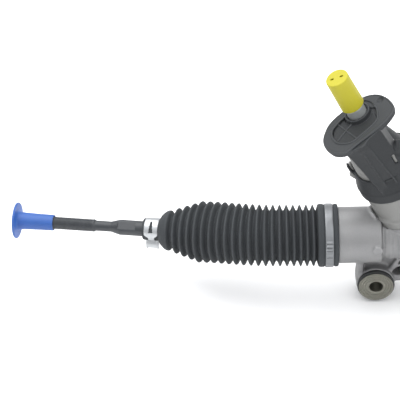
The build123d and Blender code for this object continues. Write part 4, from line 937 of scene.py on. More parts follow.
@dataclass(frozen=True)
class Housing:
    """The main casting: two necks, the casing and tube, the barrel, the yoke's boss and the ears.

    Places of the necks are counted along the rack from the ball joint's centre, those of the
    barrel along the pinion, and the others along the rack from the first ear's bolt. A ring's
    place comes with its height, and a bore's start and end with its radius.
    """

    spacing: float = 360.0
    neck: float = 31.0
    neck_root: float = -130.0
    shoulder: float = -82.0
    mouth: float = -62.0
    spigot: float = 30.4
    end_bore: float = 23.0
    end_bore_from: float = -88.5
    tube: float = 21.5
    tube_bore: float = 17.0
    tube_flare: float = 27.0
    casing: float = 26.5
    casing_to: float = 98.0
    ring_places: tuple = ((14.0, 0.7), (20.5, 0.5), (27.0, 0.7))
    ring_width: float = 3.2
    groove: tuple = (6.6, 9.4)
    groove_depth: float = 0.9
    barrel: float = 25.0
    barrel_from: float = -47.0
    barrel_bores: tuple = ((-60, -41, 14.3), (-42, -24, 11.3), (-25, 22, 12.1), (21, 60, 17.55))
    seat: float = 41.0
    yoke_boss: float = 20.0
    yoke_bore: float = 14.1
    mark_at: tuple = (1.2, 0, 63.6)
    seam_near: float = 112.0
    seam_far: float = 350.0
    step: float = 1.16

    def end(self, solid: Solid, side: Side) -> None:
        """Adds the neck that carries the bellows.

        Args:
            solid: the casting, in the row frame.
            side: which end of the rack.
        """
        ball, out = ball_centre(side), (side.sign, 0, 0)
        solid.add(solid.bar(ball, out, self.shoulder, self.mouth, self.spigot, edge=0.8))
        solid.add(solid.bar(ball, out, self.neck_root, self.shoulder, self.neck, edge=1.6), 1)

    def end_holes(self, solid: Solid, side: Side) -> None:
        """Cuts the rack's bore and the wider bore for the socket.

        Args:
            solid: the casting, in the row frame.
            side: which end of the rack.
        """
        ball, out, past = ball_centre(side), (side.sign, 0, 0), self.mouth + 12
        solid.cut(solid.bar(ball, out, -300.0, past, self.tube_bore))
        solid.cut(solid.bar(ball, out, self.end_bore_from, past, self.end_bore), 1)

    def near_end(self) -> Obj:
        """The end with the pinion barrel.

        Returns:
            The piece.
        """
        solid = Solid((-66, -50, -26), (self.seam_near + 2, 72, 118), self.step)
        line, seam, ear = RACK_LINE, self.casing_to, Ear(0.0, 74.0)
        solid.add(solid.bar(line, ALONG, 0, seam, self.casing, edge=1))
        solid.add(solid.bar(line, ALONG, seam, seam + 8, self.casing, self.tube), 4)
        solid.add(solid.bar(line, ALONG, seam - 8, self.seam_near + 9, self.tube), 2)
        self.end(solid, Side.LEFT)
        ear.onto(solid)
        self.pinion_barrel(solid)
        for spot, height in self.ring_places:
            past = spot + self.ring_width
            solid.add(solid.bar(line, ALONG, spot, past, self.casing + height, edge=0.4), 2)
        core = solid.bar(line, ALONG, 0, 20, self.casing - self.groove_depth)
        groove = np.maximum(solid.bar(line, ALONG, *self.groove, 40), -core)
        solid.cut(np.maximum(groove, -(solid.z - 40)), 0.8)
        solid.add(solid.bar(self.mark_at, FORWARD, 20, 32.6, 6.0, 5.6, edge=0.6), 2)
        solid.cut(solid.bar(self.mark_at, FORWARD, 32.0, 36, 3.4), 0.8)
        ear.cut_from(solid)
        self.end_holes(solid, Side.LEFT)
        self.pinion_holes(solid)
        solid.keep(solid.x - self.seam_near)
        return solid.piece("casting_pinion_end")

    def pinion_barrel(self, solid: Solid) -> None:
        """Adds the tilted barrel, the tower's seat with three lugs, and the yoke's boss.

        Args:
            solid: the casting, in the row frame.
        """
        origin, axis, tower = PINION.origin, PINION.third, Tower()
        top = tower.base
        solid.add(solid.bar(origin, axis, self.barrel_from, top, self.barrel, edge=1.5), 7)
        solid.add(solid.bar(origin, axis, 0, 22, self.barrel, self.seat - 1), 5)
        solid.add(solid.bar(origin, axis, 21, top, self.seat, edge=1.2), 3)
        spots = PINION.place(np.column_stack([tower.lugs(), np.zeros(3)]))
        for spot in spots:
            solid.add(solid.bar(spot, axis, 20, top, tower.lug, edge=0.8), 3)
        solid.add(solid.bar(YOKE_LINE, FORWARD, 0, 44, self.yoke_boss, edge=1.2), 6)
        around = solid.bar(origin, axis, -200, 300, self.seat + 0.9)
        neck = solid.bar(RACK_LINE, ALONG, -200, 300, self.neck)
        solid.add(np.maximum(np.hypot(around, neck) - 1.7, solid.x), 1.2)
        solid.cut(solid.bar(origin, axis, top, tower.base_top + 0.6, self.seat + 0.3))
        solid.cut(solid.bar(origin, axis, 45, 95, tower.skin + 0.6))
        for spot in spots:
            solid.cut(solid.bar(spot, axis, top, 80, tower.lug + 0.4))

    def pinion_holes(self, solid: Solid) -> None:
        """Cuts the stepped bore of the barrel and the yoke's bore.

        Args:
            solid: the casting, in the row frame.
        """
        for start, end, radius in self.barrel_bores:
            solid.cut(solid.bar(PINION.origin, PINION.third, start, end, radius))
        solid.cut(solid.bar(YOKE_LINE, FORWARD, 0, 60, self.yoke_bore), 0.6)

    def middle(self) -> Obj:
        """The plain tube between the two cast ends.

        Returns:
            The piece.
        """
        lap = 0.05
        start, end = self.seam_near - lap, self.seam_far + lap
        bore, skin = self.tube_bore, self.tube
        outline = [(start, bore), (start, skin), (end, skin), (end, bore)]
        return lathe("casting_tube", outline, Axes.along(RACK_LINE, ALONG, UP), 0.01, 128)

    def far_end(self) -> Obj:
        """The end away from the pinion.

        Returns:
            The piece.
        """
        solid = Solid((self.seam_far - 2, -38, -26), (458, 38, 96), self.step)
        ear = Ear(self.spacing, 44.0)
        solid.add(solid.bar(RACK_LINE, ALONG, self.seam_far - 9, 390, self.tube))
        solid.add(solid.bar(RACK_LINE, ALONG, 376, 388, self.tube, self.tube_flare), 4)
        self.end(solid, Side.RIGHT)
        ear.onto(solid)
        ear.cut_from(solid)
        self.end_holes(solid, Side.RIGHT)
        solid.keep(self.seam_far - solid.x)
        return solid.piece("casting_far_end")

    def build(self) -> None:
        """Makes the casting's pieces."""
        for piece in (self.near_end(), self.middle(), self.far_end()):
            ship(piece, CAST_ALUMINIUM, "housing", "gear_housing", slot="cast_aluminium")


@dataclass(frozen=True)
class Tower:
    """The cast tower round the pinion's upper end, in the pinion's axes.

    Radii are named for the part of the tower, and heights are counted along the pinion.
    """

    skin: float = 39.0
    wall: float = 4.0
    foot: float = 41.0
    base: float = 35.0
    base_top: float = 46.0
    top: float = 146.0
    room: float = 33.0
    room_top: float = 86.5
    neck: float = 16.0
    neck_bore: float = 12.5
    neck_from: float = 140.0
    neck_top: float = 158.0
    lug: float = 8.0
    lug_top: float = 44.0
    lug_hole: float = 3.2
    lug_reach: float = 44.6
    lug_angles: tuple = (25.0, 95.0, -65.0)

    def lugs(self) -> np.ndarray:
        """Centres of the three lugs, across the pinion's axis."""
        turn = np.radians(self.lug_angles)
        return self.lug_reach * np.stack([np.cos(turn), np.sin(turn)], axis=-1)

    def upper(self, solid: Solid, grow: float) -> Field:
        """Distance to the tower's round skin, which leans to its left above the sensor.

        At each height the section is the circle between the skin's left and right sides.

        Args:
            solid: a casting or moulding in the pinion's axes.
            grow: how much larger the skin is taken, in mm.

        Returns:
            The distance at each point of the grid.
        """
        heights = (87.0, 96.0, 107.0, 118.0, 142.0, self.top)
        left = np.interp(solid.z, heights, (self.skin, 36.4, 34.0, 34.2, 32.6, 28.5))
        right = np.interp(solid.z, heights, (self.skin, 36.4, 31.0, 25.0, 17.0, 16.2))
        middle, radius, steepness = (right - left) / 2, (right + left) / 2 + grow, 1.15
        return ((np.hypot(solid.x - middle, solid.y) - radius) / steepness).astype(np.float32)

    def build(self) -> None:
        """Makes the casting with its lugs, its neck, its stepped bore and three small bosses."""
        solid = Solid((-54, -54, 34), (54, 58, 160), 0.95)
        x, y, z = solid.x, solid.y, solid.z
        solid.add(solid.bar(CENTRE, UP, self.base, self.base_top, self.foot, edge=1))
        solid.add(np.maximum(self.upper(solid, 0), np.maximum(40 - z, z - self.top)), 5)
        solid.add(solid.bar(CENTRE, UP, self.neck_from, self.neck_top, self.neck, edge=1), 3)
        for spot in self.lugs():
            solid.add(solid.bar((*spot, 0), UP, self.base, self.lug_top, self.lug, edge=0.8), 4)
            solid.cut(solid.bar((*spot, 0), UP, self.lug_top, 54, self.lug - 1.6), 1.5)
        solid.cut(solid.bar(CENTRE, UP, self.base - 5, self.room_top, self.room))
        room = np.maximum(85 - z, z - (self.top - self.wall))
        solid.cut(np.maximum(self.upper(solid, -self.wall), room))
        solid.cut(solid.bar(CENTRE, UP, self.neck_from, 170, self.neck_bore))
        for spot in self.lugs():
            solid.cut(solid.bar((*spot, 0), UP, self.base - 5, 50, self.lug_hole))
        solid.add(solid.rib(x, z, y, (-40.9, 103), (-36, 93), 5.0, -4.0, 2.0), 1)
        solid.add(solid.rib(x, z, y, (-37.4, 116), (-37.6, 102), 3.2, -2.0, 3.6), 1)
        # A pale boss behind the cover's slot: a painted highlight for the gleam on the cover's
        # corner.
        solid.add(solid.rib(x, z, y, (21.0, 125), (21.0, 135), 4.6, -34.6, -8.0), 1)
        piece = solid.piece("tower_casting", PINION)
        ship(piece, TOWER_ALUMINIUM, "housing", "tower_housing", slot="cast_aluminium")


@dataclass(frozen=True)
class Cover:
    """The moulded cover: a hood round the tower, a trunk in front of it, a duct and a flange.

    Corners are across the pinion's axis, and heights are along it. The duct's middle and half
    size are (across the rack, up).
    """

    wall: float = 2.6
    top: float = 180.0
    under: float = 175.5
    sink: float = 3.2
    hole: float = 11.2
    ring: float = 14.6
    flange_corners: tuple = (
        (-43, -22.5), (-36.8, -5), (-28.8, 3.8), (-15, 12.2), (7.5, 24), (23.8, 20.6), (36, 8.5),
        (43, -7.5), (42.6, -18.5), (32, -31), (-7, -52.5), (-17.5, -59.2), (-30.5, -54),
        (-41, -37.5),
    )
    recess_corners: tuple = (
        (-24, -5.2), (-31.6, -14), (-31.4, -25.4), (-26.7, -36.5), (-18.5, -41.8), (-8.4, -44.3),
        (14.2, -29.5), (22.7, -22.2), (23.7, -11.8), (22, 1.3), (4, 7.3), (-12, 3.3),
    )
    trunk_bottom: float = 84.0
    trunk_low: tuple = (
        (-8.7, -39.3), (-2.6, -35.2), (11.2, -34.5), (26.5, -31), (26, -8), (14, 8), (-16, 8),
        (-20, -20),
    )
    trunk_high: tuple = (
        (-19.8, -49.2), (-2.1, -50.6), (5.5, -48.7), (24, -36), (20, -8), (14, 8), (-22, 6),
        (-27, -26),
    )
    shoulder: float = 107.0
    shoulder_radius: float = 36.9
    duct_middle: tuple = (-8.0, 181.5)
    duct_half: tuple = (13.0, 15.5)
    duct_edge: float = 6.0
    duct_from: float = 20.0
    duct_to: float = 82.0

    def flange(self) -> Obj:
        """The flange with its rim, its ribs and the ring round the shaft.

        Returns:
            The piece.
        """
        solid = Solid((-47, -63, 171), (48, 30, 187), 0.62)
        x, y, z, top = solid.x, solid.y, solid.z, self.top
        edge = softened(self.flange_corners, 9, 3)
        solid.add(solid.prism(x, y, z, edge, self.under, top, 0.9))
        solid.add(solid.prism(x, y, z, edge * 0.93, self.under - 3, self.under + 1, 0.4), 1)
        around = np.maximum(outline_distance(x, y, edge), -outline_distance(x, y, edge * 0.955))
        solid.add(np.maximum(around, np.abs(z - top) - 0.7), 0.8)
        inset = outline_distance(x, y, softened(self.recess_corners, 5, 3))
        solid.cut(np.maximum(inset, (top - self.sink) - z), 0.9)
        solid.add(np.maximum(np.abs(inset) - 0.9, np.abs(z - top) - 1.2), 0.8)
        for start, end in (((-26, -2.8), (-2.5, -39.7)), ((-29, -35.3), (-9, -13))):
            solid.add(solid.rib(x, y, z, start, end, 1.8, self.under, top - 0.6, 0.4), 1.4)
        solid.add(solid.bar(CENTRE, UP, self.under, top + 2.6, self.ring, edge=0.7), 1.2)
        solid.cut(solid.bar(CENTRE, UP, top + 1.2, top + 9, self.ring - 2), 0.6)
        shelf = np.maximum(np.abs(np.hypot(x, y) - (self.ring + 3)) - 1.8, (top - 1.6) - z)
        solid.cut(np.maximum(shelf, -(x * 0.8 - y * 0.2)), 0.7)
        dimple = np.hypot(np.hypot(x - 27.0, y - 9.3), z - top - 2.2) - 4.9
        solid.cut(dimple, 0.7)
        solid.cut(solid.bar(CENTRE, UP, 160, 200, self.hole), 0.6)
        return solid.piece("cover_flange", PINION)

    def trunk_outline(self, height: Field | float) -> list:
        """The trunk's corners, each sliding straight from the trunk's foot to under the flange.

        Args:
            height: along the pinion's axis.

        Returns:
            The corners at that height.
        """
        share = (height - self.trunk_bottom) / (self.under - self.trunk_bottom)
        ends = zip(self.trunk_low, self.trunk_high)
        return [(a[0] + share * (b[0] - a[0]), a[1] + share * (b[1] - a[1])) for a, b in ends]

    def duct(self, solid: Solid, shrink: float) -> Field:
        """Distance to the duct for the wiring, which leaves the trunk along the rack.

        Its section is an oblong with round corners: how far a point is past the middles of the
        corners' arcs, less the arcs' radius.

        Args:
            solid: the cover, in the pinion's axes.
            shrink: how much smaller it is all round.

        Returns:
            The distance at each point of the grid.
        """
        right, up, start = PINION.first, PINION.third, PINION.origin
        along = start[0] + solid.x * right[0] + solid.z * up[0]
        height = start[2] + solid.x * right[2] + solid.z * up[2]
        across = start[1] + solid.y
        edge = self.duct_edge - shrink
        sides = [
            np.abs(place - middle) - (half - shrink)
            for place, middle, half in zip((across, height), self.duct_middle, self.duct_half)
        ]
        corner = np.hypot(*(np.maximum(side + edge, 0) for side in sides))
        round_side = np.maximum(corner - edge, np.minimum(np.maximum(*sides), 0))
        ends = np.maximum(self.duct_from + shrink - along, along - self.duct_to + shrink)
        return np.maximum(round_side, ends)

    def body(self) -> Obj:
        """The collar, the trunk and the duct.

        Returns:
            The piece.
        """
        solid, tower = Solid((-48, -60, 76), (86, 48, 181), 1.06), Tower()
        x, y, z, crest = solid.x, solid.y, solid.z, self.shoulder
        solid.add(solid.bar(CENTRE, UP, 78, 90, 41.9, edge=0.8))
        solid.add(solid.bar(CENTRE, UP, 90, crest, 41.2, self.shoulder_radius, edge=0.4), 0.6)
        hood = np.maximum(tower.upper(solid, 2.9), np.maximum(92 - z, z - self.under + 20))
        solid.add(np.maximum(hood, 1.0 - x), 1)
        walls = outline_distance(x, y, self.trunk_outline(z))
        flare = 5.0 * np.clip((z - 160) / 18, 0, 1) ** 2 * np.clip((10 - x) / 8, 0, 1)
        trunk = np.maximum(walls - flare, np.maximum(self.trunk_bottom - z, z - self.top + 1.4))
        notch = np.maximum(np.maximum(-1.0 - x, z - (crest + 2.5)), y + 36.0)
        solid.add(np.maximum(trunk, -notch), 1)
        lip = np.hypot(np.hypot(x, y) - self.shoulder_radius, z - crest) - 1.1
        solid.add(np.maximum(lip, -1.0 - x), 0.4)
        for corner in (1, 2):
            foot, head = (np.array([*self.trunk_outline(at)[corner], at]) for at in (100.0, 174.0))
            run = head - foot
            length = float(np.linalg.norm(run))
            solid.add(solid.bar(foot, run / length, 0, length, 1.1, edge=0.3), 0.8)
        solid.add(self.duct(solid, 0), 2.5)
        for start, end in (((-39.8, 117.5), (-39.6, 110)), ((-39.6, 110), (-37, 101))):
            solid.add(solid.rib(x, z, y, start, end, 2.5, -4.2, 1, 0.5), 0.6)
        solid.cut(np.maximum(walls + self.wall, np.maximum(crest + 2.5 - z, z - 173)), 0.6)
        solid.cut(self.duct(solid, self.wall), 0.6)
        solid.cut(np.maximum(tower.upper(solid, 0.35), z - (tower.top + 0.4)))
        solid.cut(solid.bar(CENTRE, UP, tower.neck_from, 190, tower.neck + 0.4))
        # A slot that shows the tower's pale boss: a painted highlight for the gleam on the trunk's
        # corner.
        window = [(19.0, -60), (19.0, -20), (22.6, -20), (22.6, -60)]
        solid.cut(solid.prism(x, y, z, window, 125, 137, 0.4), 0.6)
        return solid.piece("cover_body", PINION)

    def build(self) -> None:
        """Makes the cover's two pieces."""
        # The body takes the darker copy: painted shade on the walls that face from the light.
        pieces = ((self.flange(), COVER_POLYAMIDE), (self.body(), COVER_WALL_PAINTED_SHADE))
        for piece, finish in pieces:
            ship(piece, finish, "housing", "dust_cover", slot="cover_plastic")


# -------------------------------------------------------- turned and moulded pieces of the shaft
def revolved(name: str, along: Field, radius: Field, axes: Axes, angle: float = 32.0) -> Obj:
    """Makes a piece whose radius depends on the distance along its axis and on the angle round it.

    Args:
        name: the piece's name.
        along: distance of each row, in mm.
        radius: radius at each row and column, in mm.
        axes: the axes of the piece.
        angle: edges over this angle stay crisp.

    Returns:
        The piece.
    """
    turn = np.arange(radius.shape[1]) / radius.shape[1] * FULL_TURN
    points = axes.place(round_points(radius, turn, along[:, None]))
    return sharpen(new_piece(name, points, grid_faces(*radius.shape, False, True)), angle)


def profile_rows(outline: Outline, step: float, radius: float) -> tuple[np.ndarray, np.ndarray]:
    """Distance along and radius of an open outline, with long runs cut into short ones.

    Args:
        outline: (distance, radius) corners.
        step: longest run.
        radius: rounding of the corners.

    Returns:
        The distances and the radii.
    """
    line = softened(outline, radius, closed=False)
    run = np.concatenate([[0], np.cumsum(np.linalg.norm(np.diff(line, axis=0), axis=1))])
    at = np.unique(np.concatenate([run, np.arange(0, run[-1], step)]))
    return np.interp(at, run, line[:, 0]), np.interp(at, run, line[:, 1])


@dataclass(frozen=True)
class InputShaft:
    """The input shaft above the pinion, with serrations and a clamp groove, and its cap."""

    radius: float = 9.5
    bottom: float = 61.9
    end: float = 232.0
    shoulder: float = 10.7
    shoulder_from: float = 160.0
    shoulder_to: float = 192.6
    groove: float = 8.0
    groove_middle: float = 202.0
    serrations: int = 20
    depth: float = 0.45
    serrated_from: float = 193.0
    columns: int = 240
    cap_radius: float = 13.4
    cap_from: float = 193.7
    cap_to: float = 237.7

    def build(self) -> None:
        """Makes the shaft, whose radius dips between its serrations, and its cap."""
        full, deep, middle = self.radius, self.groove, self.groove_middle
        outline = [
            (self.bottom, 0), (self.bottom, full), (self.shoulder_from, full),
            (self.shoulder_from + 1, self.shoulder), (self.shoulder_to - 1.1, self.shoulder),
            (self.shoulder_to, full), (middle - 3.4, full), (middle - 1.6, deep),
            (middle + 1.6, deep), (middle + 3.4, full), (self.end - 1, full), (self.end, full - 1),
            (self.end, 0),
        ]
        along, radius = profile_rows(outline, 2.0, 0.3)
        turn = np.arange(self.columns) / self.columns * FULL_TURN
        dip = self.depth * (0.5 - 0.5 * np.cos(self.serrations * turn)) ** 0.7
        cut = np.clip((along - self.serrated_from) / 3, 0, 1) * (radius > deep + 0.3)
        grid = np.maximum(radius[:, None] - cut[:, None] * dip, 0)
        piece = revolved("input_shaft_turned", along, grid, PINION)
        ship(piece, GROUND_STEEL, "pinion", "input_shaft", slot="rack_steel")
        self.cap()

    def cap(self) -> None:
        """The yellow cap: its lid has two oblong vents, so it is a distance field."""
        solid = Solid((-14.5, -14.5, 192), (14.5, 14.5, 240), 0.5)
        foot, lid, radius = self.cap_from, self.cap_to, self.cap_radius
        solid.add(solid.bar(CENTRE, UP, foot, lid, radius, radius - 0.4, edge=1.2))
        solid.cut(solid.bar(CENTRE, UP, foot - 3.7, self.end + 0.1, self.radius + 0.75))
        solid.cut(solid.bar(CENTRE, UP, self.end - 1, lid - 2.1, 7.8))
        for spot in (-5.5, 5.5):
            vent = line_distance(solid.x, solid.y, (spot - 0.9, 0), (spot + 0.9, 0)) - 1.2
            solid.cut(np.maximum(vent, self.end - 2 - solid.z), 0.3)
        piece = solid.piece("shaft_cap_moulded", PINION)
        ship(piece, YELLOW_POLYETHYLENE, "shaft_cap", "shaft_cap", slot="yellow_cap_plastic")


# -------------------------------------------------------- tie rods, bellows and their clamps
@dataclass(frozen=True)
class TieRod:
    """A tie rod: its ball, slim neck, body with wrench flats, shank and rolled M14 thread.

    Radii are named for the part of the rod, and distances are counted from the ball's centre.
    """

    side: Side
    ball: float = 14.0
    neck: float = 6.5
    body: float = 8.5
    shank: float = 5.75
    flats: float = 13.6
    flats_facing: float = 59.0
    flats_from: float = 143.5
    flats_to: float = 164.0
    thread: float = 7.0
    thread_depth: float = 0.62
    pitch: float = 1.5
    thread_from: float = 190.6
    end: float = 262.0
    columns: int = 60
    cap_inner: float = 7.85
    cap_top: float = 281.0

    def build(self) -> None:
        """Makes the rod, with the thread's helix and the two flats worked into its radius.

        The ball's outline is a circle up to where it meets the neck. The thread's height falls and
        rises evenly in each pitch, and moves on by one pitch in a turn.
        """
        ball, neck, body, shank, thread = self.ball, self.neck, self.body, self.shank, self.thread
        turn = np.linspace(0, math.acos(-math.sqrt(1 - (neck / ball) ** 2)), 40)
        sphere = [(-ball * math.cos(t), ball * math.sin(t)) for t in turn]
        outline = [
            *sphere, (36.4, neck), (44.8, body - 1), (107.6, body - 1), (108.4, body - 0.3),
            (133.8, body - 0.3), (134.7, body), (162.4, body), (172.4, shank), (190.0, shank),
            (191.8, thread), (self.end - 1, thread), (self.end, thread - 1), (self.end, 0),
        ]
        along, radius = profile_rows(outline, 0.25, 0.25)
        turn = np.arange(self.columns) / self.columns * FULL_TURN
        left = self.side is Side.LEFT
        facing = math.radians(self.flats_facing if left else 180 - self.flats_facing)
        face = self.flats / 2 / np.maximum(np.abs(np.cos(turn - facing)), 1e-3)
        flat_rows = ((along > self.flats_from) & (along < self.flats_to))[:, None]
        grid = np.where(flat_rows, np.minimum(radius[:, None], face), radius[:, None])
        phase = (along[:, None] / self.pitch - turn / FULL_TURN) % 1
        ridge = self.thread_depth * np.abs(2 * phase - 1) - self.thread_depth
        started = np.clip((along - self.thread_from - 1.4) / 2, 0, 1) * (radius > shank + 0.15)
        started *= along > self.thread_from
        grid = np.maximum(grid + started[:, None] * ridge, 0)
        name = f"{self.side.value}_tie_rod"
        piece = revolved(f"{name}_forged", along, grid, rod_axes(self.side), 50)
        ship(piece, PHOSPHATED_STEEL, name, name, slot="phosphated_steel")
        self.cap()

    def cap(self) -> None:
        """The blue thread protector, a flared tube with a flange at its closed end."""
        inner, top, stop, hollow = self.cap_inner, self.cap_top, self.end + 0.1, 5.0
        outline = [
            (238.0, inner), (238.0, 8.35), (239.2, 8.75), (252, 8.85), (270, 9.3), (277.5, 9.9),
            (top - 2, 12.0), (top - 2, 19.2), (top - 1.4, 19.8), (top, 19.8), (top + 0.4, 19.2),
            (top, 0), (top - 2, 0), (top - 2, hollow), (stop, hollow), (stop, inner),
        ]
        body = f"{self.side.value}_thread_cap"
        piece = lathe(f"{body}_moulded", outline, rod_axes(self.side), 0.8)
        ship(piece, BLUE_POLYETHYLENE, body, body, slot="blue_cap_plastic")


@dataclass(frozen=True)
class Bellows:
    """A bellows of folds, from the neck of the housing to the tie rod.

    Distances are walked along its centre line: along the rack up to the ball joint, where the walk
    is zero, and bent smoothly onto the tie rod past it. The first and last ridges are given by
    their walk. The growth is what each fold adds to the pitch, halved.
    """

    side: Side
    first: float = -55.1
    last: float = 105.6
    pitch: float = 7.0
    growth: float = 0.0519
    ridge: float = 33.9
    last_ridge: float = 22.3
    taper_from: float = 70.5
    depth: float = 6.3
    wall: float = 1.3
    bore: float = 8.35
    bend_from: float = -43.4
    bend_length: float = 106.1
    sag_at: float = 24.0
    sag_half: float = 94.0
    swing_from: float = 99.0
    rows: int = 14
    columns: int = 128

    def at(self, fold: float) -> float:
        """Walk of a ridge, counted from the one at the housing; each pitch is a little longer."""
        return self.first + fold * self.pitch + fold * fold * self.growth

    @property
    def start(self) -> float:
        """Walk of the valley beside the cuff."""
        return self.at(-0.5)

    @property
    def seam(self) -> float:
        """The valley that parts the length moved by the rack's stroke from the one that bends."""
        return self.at(12.5)

    def radius(self, walk: np.ndarray) -> np.ndarray:
        """Radius of the skin: one wave in each pitch, from a ridge to the next.

        Args:
            walk: distance along the centre line.

        Returns:
            The outer radius there.
        """
        share = np.clip((walk - self.taper_from) / (self.last - self.taper_from), 0, 1)
        crest = self.ridge + (self.last_ridge - self.ridge) * share
        fold = np.sqrt(self.pitch**2 + 4 * self.growth * (walk - self.first)) - self.pitch
        fold = fold / (2 * self.growth)
        return crest - self.depth * (0.5 - 0.5 * np.cos(FULL_TURN * fold))

    def place(self, walk: np.ndarray, radius: np.ndarray) -> np.ndarray:
        """Points of rings, whose centres and directions are blended from the rack's to the rod's.

        The middle of the length stands a little up and back of that, by half a cosine wave.

        Args:
            walk: distance of each ring along the centre line.
            radius: its radius.

        Returns:
            An array of rings by columns by three.
        """
        ball, rod = ball_centre(self.side), joint_axis(f"{self.side.value}_tie_rod_spin")
        rack = np.array([self.side.sign, 0.0, 0.0])
        share = np.clip((walk - self.bend_from) / self.bend_length, 0, 1)
        share = (share * share * (3 - 2 * share))[:, None]
        centre = ball + walk[:, None] * (rack + share * (rod - rack))
        wave = np.clip((walk - self.sag_at) / self.sag_half, -1, 1)
        lift = 0.9 * (1 + np.cos(math.pi * wave))[:, None]
        centre = centre + lift * np.array([0, 0.67, 0.74])
        facing = rack + share * (rod - rack)
        facing /= np.linalg.norm(facing, axis=1, keepdims=True)
        up = np.array(UP) - facing * facing[:, 2:]
        up /= np.linalg.norm(up, axis=1, keepdims=True)
        side = np.cross(up, facing)
        turn = np.arange(self.columns)[None, :, None] / self.columns * FULL_TURN
        ring = np.cos(turn) * side[:, None] + np.sin(turn) * up[:, None]
        return centre[:, None] + radius[:, None, None] * ring

    def skin(self, name: str, walk: np.ndarray, outer: np.ndarray, inner: np.ndarray) -> Obj:
        """Makes a closed skin from an outer surface and an inner one.

        Args:
            name: the piece's name.
            walk: distance of each ring along the centre line.
            outer: its outer radius.
            inner: its inner radius.

        Returns:
            The piece, dressed.
        """
        points = np.concatenate([self.place(walk, outer), self.place(walk[::-1], inner[::-1])])
        piece = new_piece(name, points, grid_faces(len(points), self.columns, True, True))
        return Paint.on(sharpen(piece, 48), BELLOWS_RUBBER)

    def build(self) -> None:
        """Makes the cuff on the housing, the two lengths of folds and the small cuff."""
        node, start = f"{self.side.value}_bellows", self.start
        cuff = [
            (-82.6, 30.6), (-82.6, 33.2), (-81.6, 34.3), (-78.6, 34.5), (-77.6, 33.8), (-67.2, 33.8),
            (-66.2, 34.6), (-62.6, 34.8), (-60.4, 33.9), (start, 27.6), (start, 26.2), (-61.4, 30.45),
        ]
        mouth = lathe(f"{node}_cuff", cuff, rack_axes(self.side), 0.7, self.columns)
        ship(mouth, BELLOWS_RUBBER, "housing", node, slot="bellows_rubber")
        near = np.linspace(start, self.seam, self.rows * 13 + 1)
        folds = self.skin(f"{node}_stroke", near, self.radius(near), self.radius(near) - self.wall)
        self.bend(folds, start, self.seam)
        far = np.linspace(self.seam, self.last, int(self.rows * 7.5) + 1)
        small_cuff = np.array([
            (107.0, 22.2), (108.4, 21.7), (110, 20.8), (111.8, 19.4), (113.6, 17.6), (115.1, 15.6),
            (116.2, 13.8), (116.8, 12.0), (134.4, 12.0), (134.9, 11.6), (134.9, 8.4),
        ])
        walk = np.concatenate([far, small_cuff[:, 0]])
        outer = np.concatenate([self.radius(far), small_cuff[:, 1]])
        inner = np.where(walk > 115, self.bore, np.maximum(outer - self.wall, self.bore))
        bent = self.skin(f"{node}_swing", walk, outer, inner)
        self.bend(bent, self.seam, self.swing_from)

    def bend(self, piece: Obj, start: float, end: float) -> None:
        """Bakes a length of the bellows in place, and hides the CAD bellows that it stands for.

        Args:
            piece: the length.
            start: walk at which it leaves the first body.
            end: walk at which it has reached the second.
        """
        margin = 1.0
        ends = self.place(np.array([start + margin, end - margin]), np.zeros(2))[:, 0] * MM
        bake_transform(piece)
        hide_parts(f"{self.side.value}_bellows")
        LOG.info("%s: %d faces", piece.name, len(piece.data.polygons))


# Says which cells of a strip stay, from the share along its width and the angle round it.
Rule = Callable[[np.ndarray, np.ndarray], np.ndarray]


@dataclass(frozen=True)
class Band:
    """A metal band round a cuff, with a cut-out given on its unrolled strip.

    Angles are counted from the axes' first direction, and from the opposite one where the band
    is mirrored, so that both ends of the gear match.
    """

    name: str
    body: str
    node: str
    axes: Axes
    mirror: bool
    start: float
    end: float
    radius: float
    thickness: float
    finish: Finish = BAND_STEEL

    def strip(self, rows: int, columns: int, keep: Rule | None = None) -> None:
        """Makes the band from the cells of its strip that a rule keeps.

        Its radius is the same all along, but falls off at both edges with the eighth power of the
        distance from the middle.

        Args:
            rows: cells across the width.
            columns: cells round it.
            keep: the rule, whose angles are in degrees. Without it all cells stay.
        """
        share = np.linspace(0, 1, rows + 1)
        turn = np.arange(columns) / columns * FULL_TURN
        along = self.start + share * (self.end - self.start)
        crown = self.radius - self.thickness - 0.25 * np.abs(2 * share - 1) ** 8
        local = round_points(crown[:, None], mirrored(turn, self.mirror), along[:, None])
        faces = grid_faces(rows + 1, columns, False, True)
        if keep:
            middle_share = np.repeat(share[:-1], columns) + 0.5 / rows
            middle_turn = np.degrees(np.tile(turn, rows) + math.pi / columns)
            faces = faces[keep(middle_share, (middle_turn + 180) % 360 - 180)]
        used, number = np.unique(faces, return_inverse=True)
        points = self.axes.place(local).reshape(-1, 3)[used]
        piece = new_piece(self.name, points, number.reshape(-1, 4))
        wall = piece.modifiers.new("Wall", "SOLIDIFY")
        wall.thickness, wall.offset = self.thickness * MM, 1.0
        soft = piece.modifiers.new("Soft", "BEVEL")
        soft.width, soft.segments, soft.limit_method = 0.15 * MM, 2, "ANGLE"
        ship(piece, self.finish, self.body, self.node, slot="clamp_steel")


def mirrored(angle: Field, mirror: bool) -> Field:
    """Angles in radians, counted from the opposite side where they are mirrored."""
    return math.pi - angle if mirror else angle


def end_caps(corners: tuple, count: int) -> list:
    """Quads that close both ends of a bent bar, count points long, from corners of its section."""
    return [[i * count + end for i in corner] for corner in corners for end in (0, count - 1)]


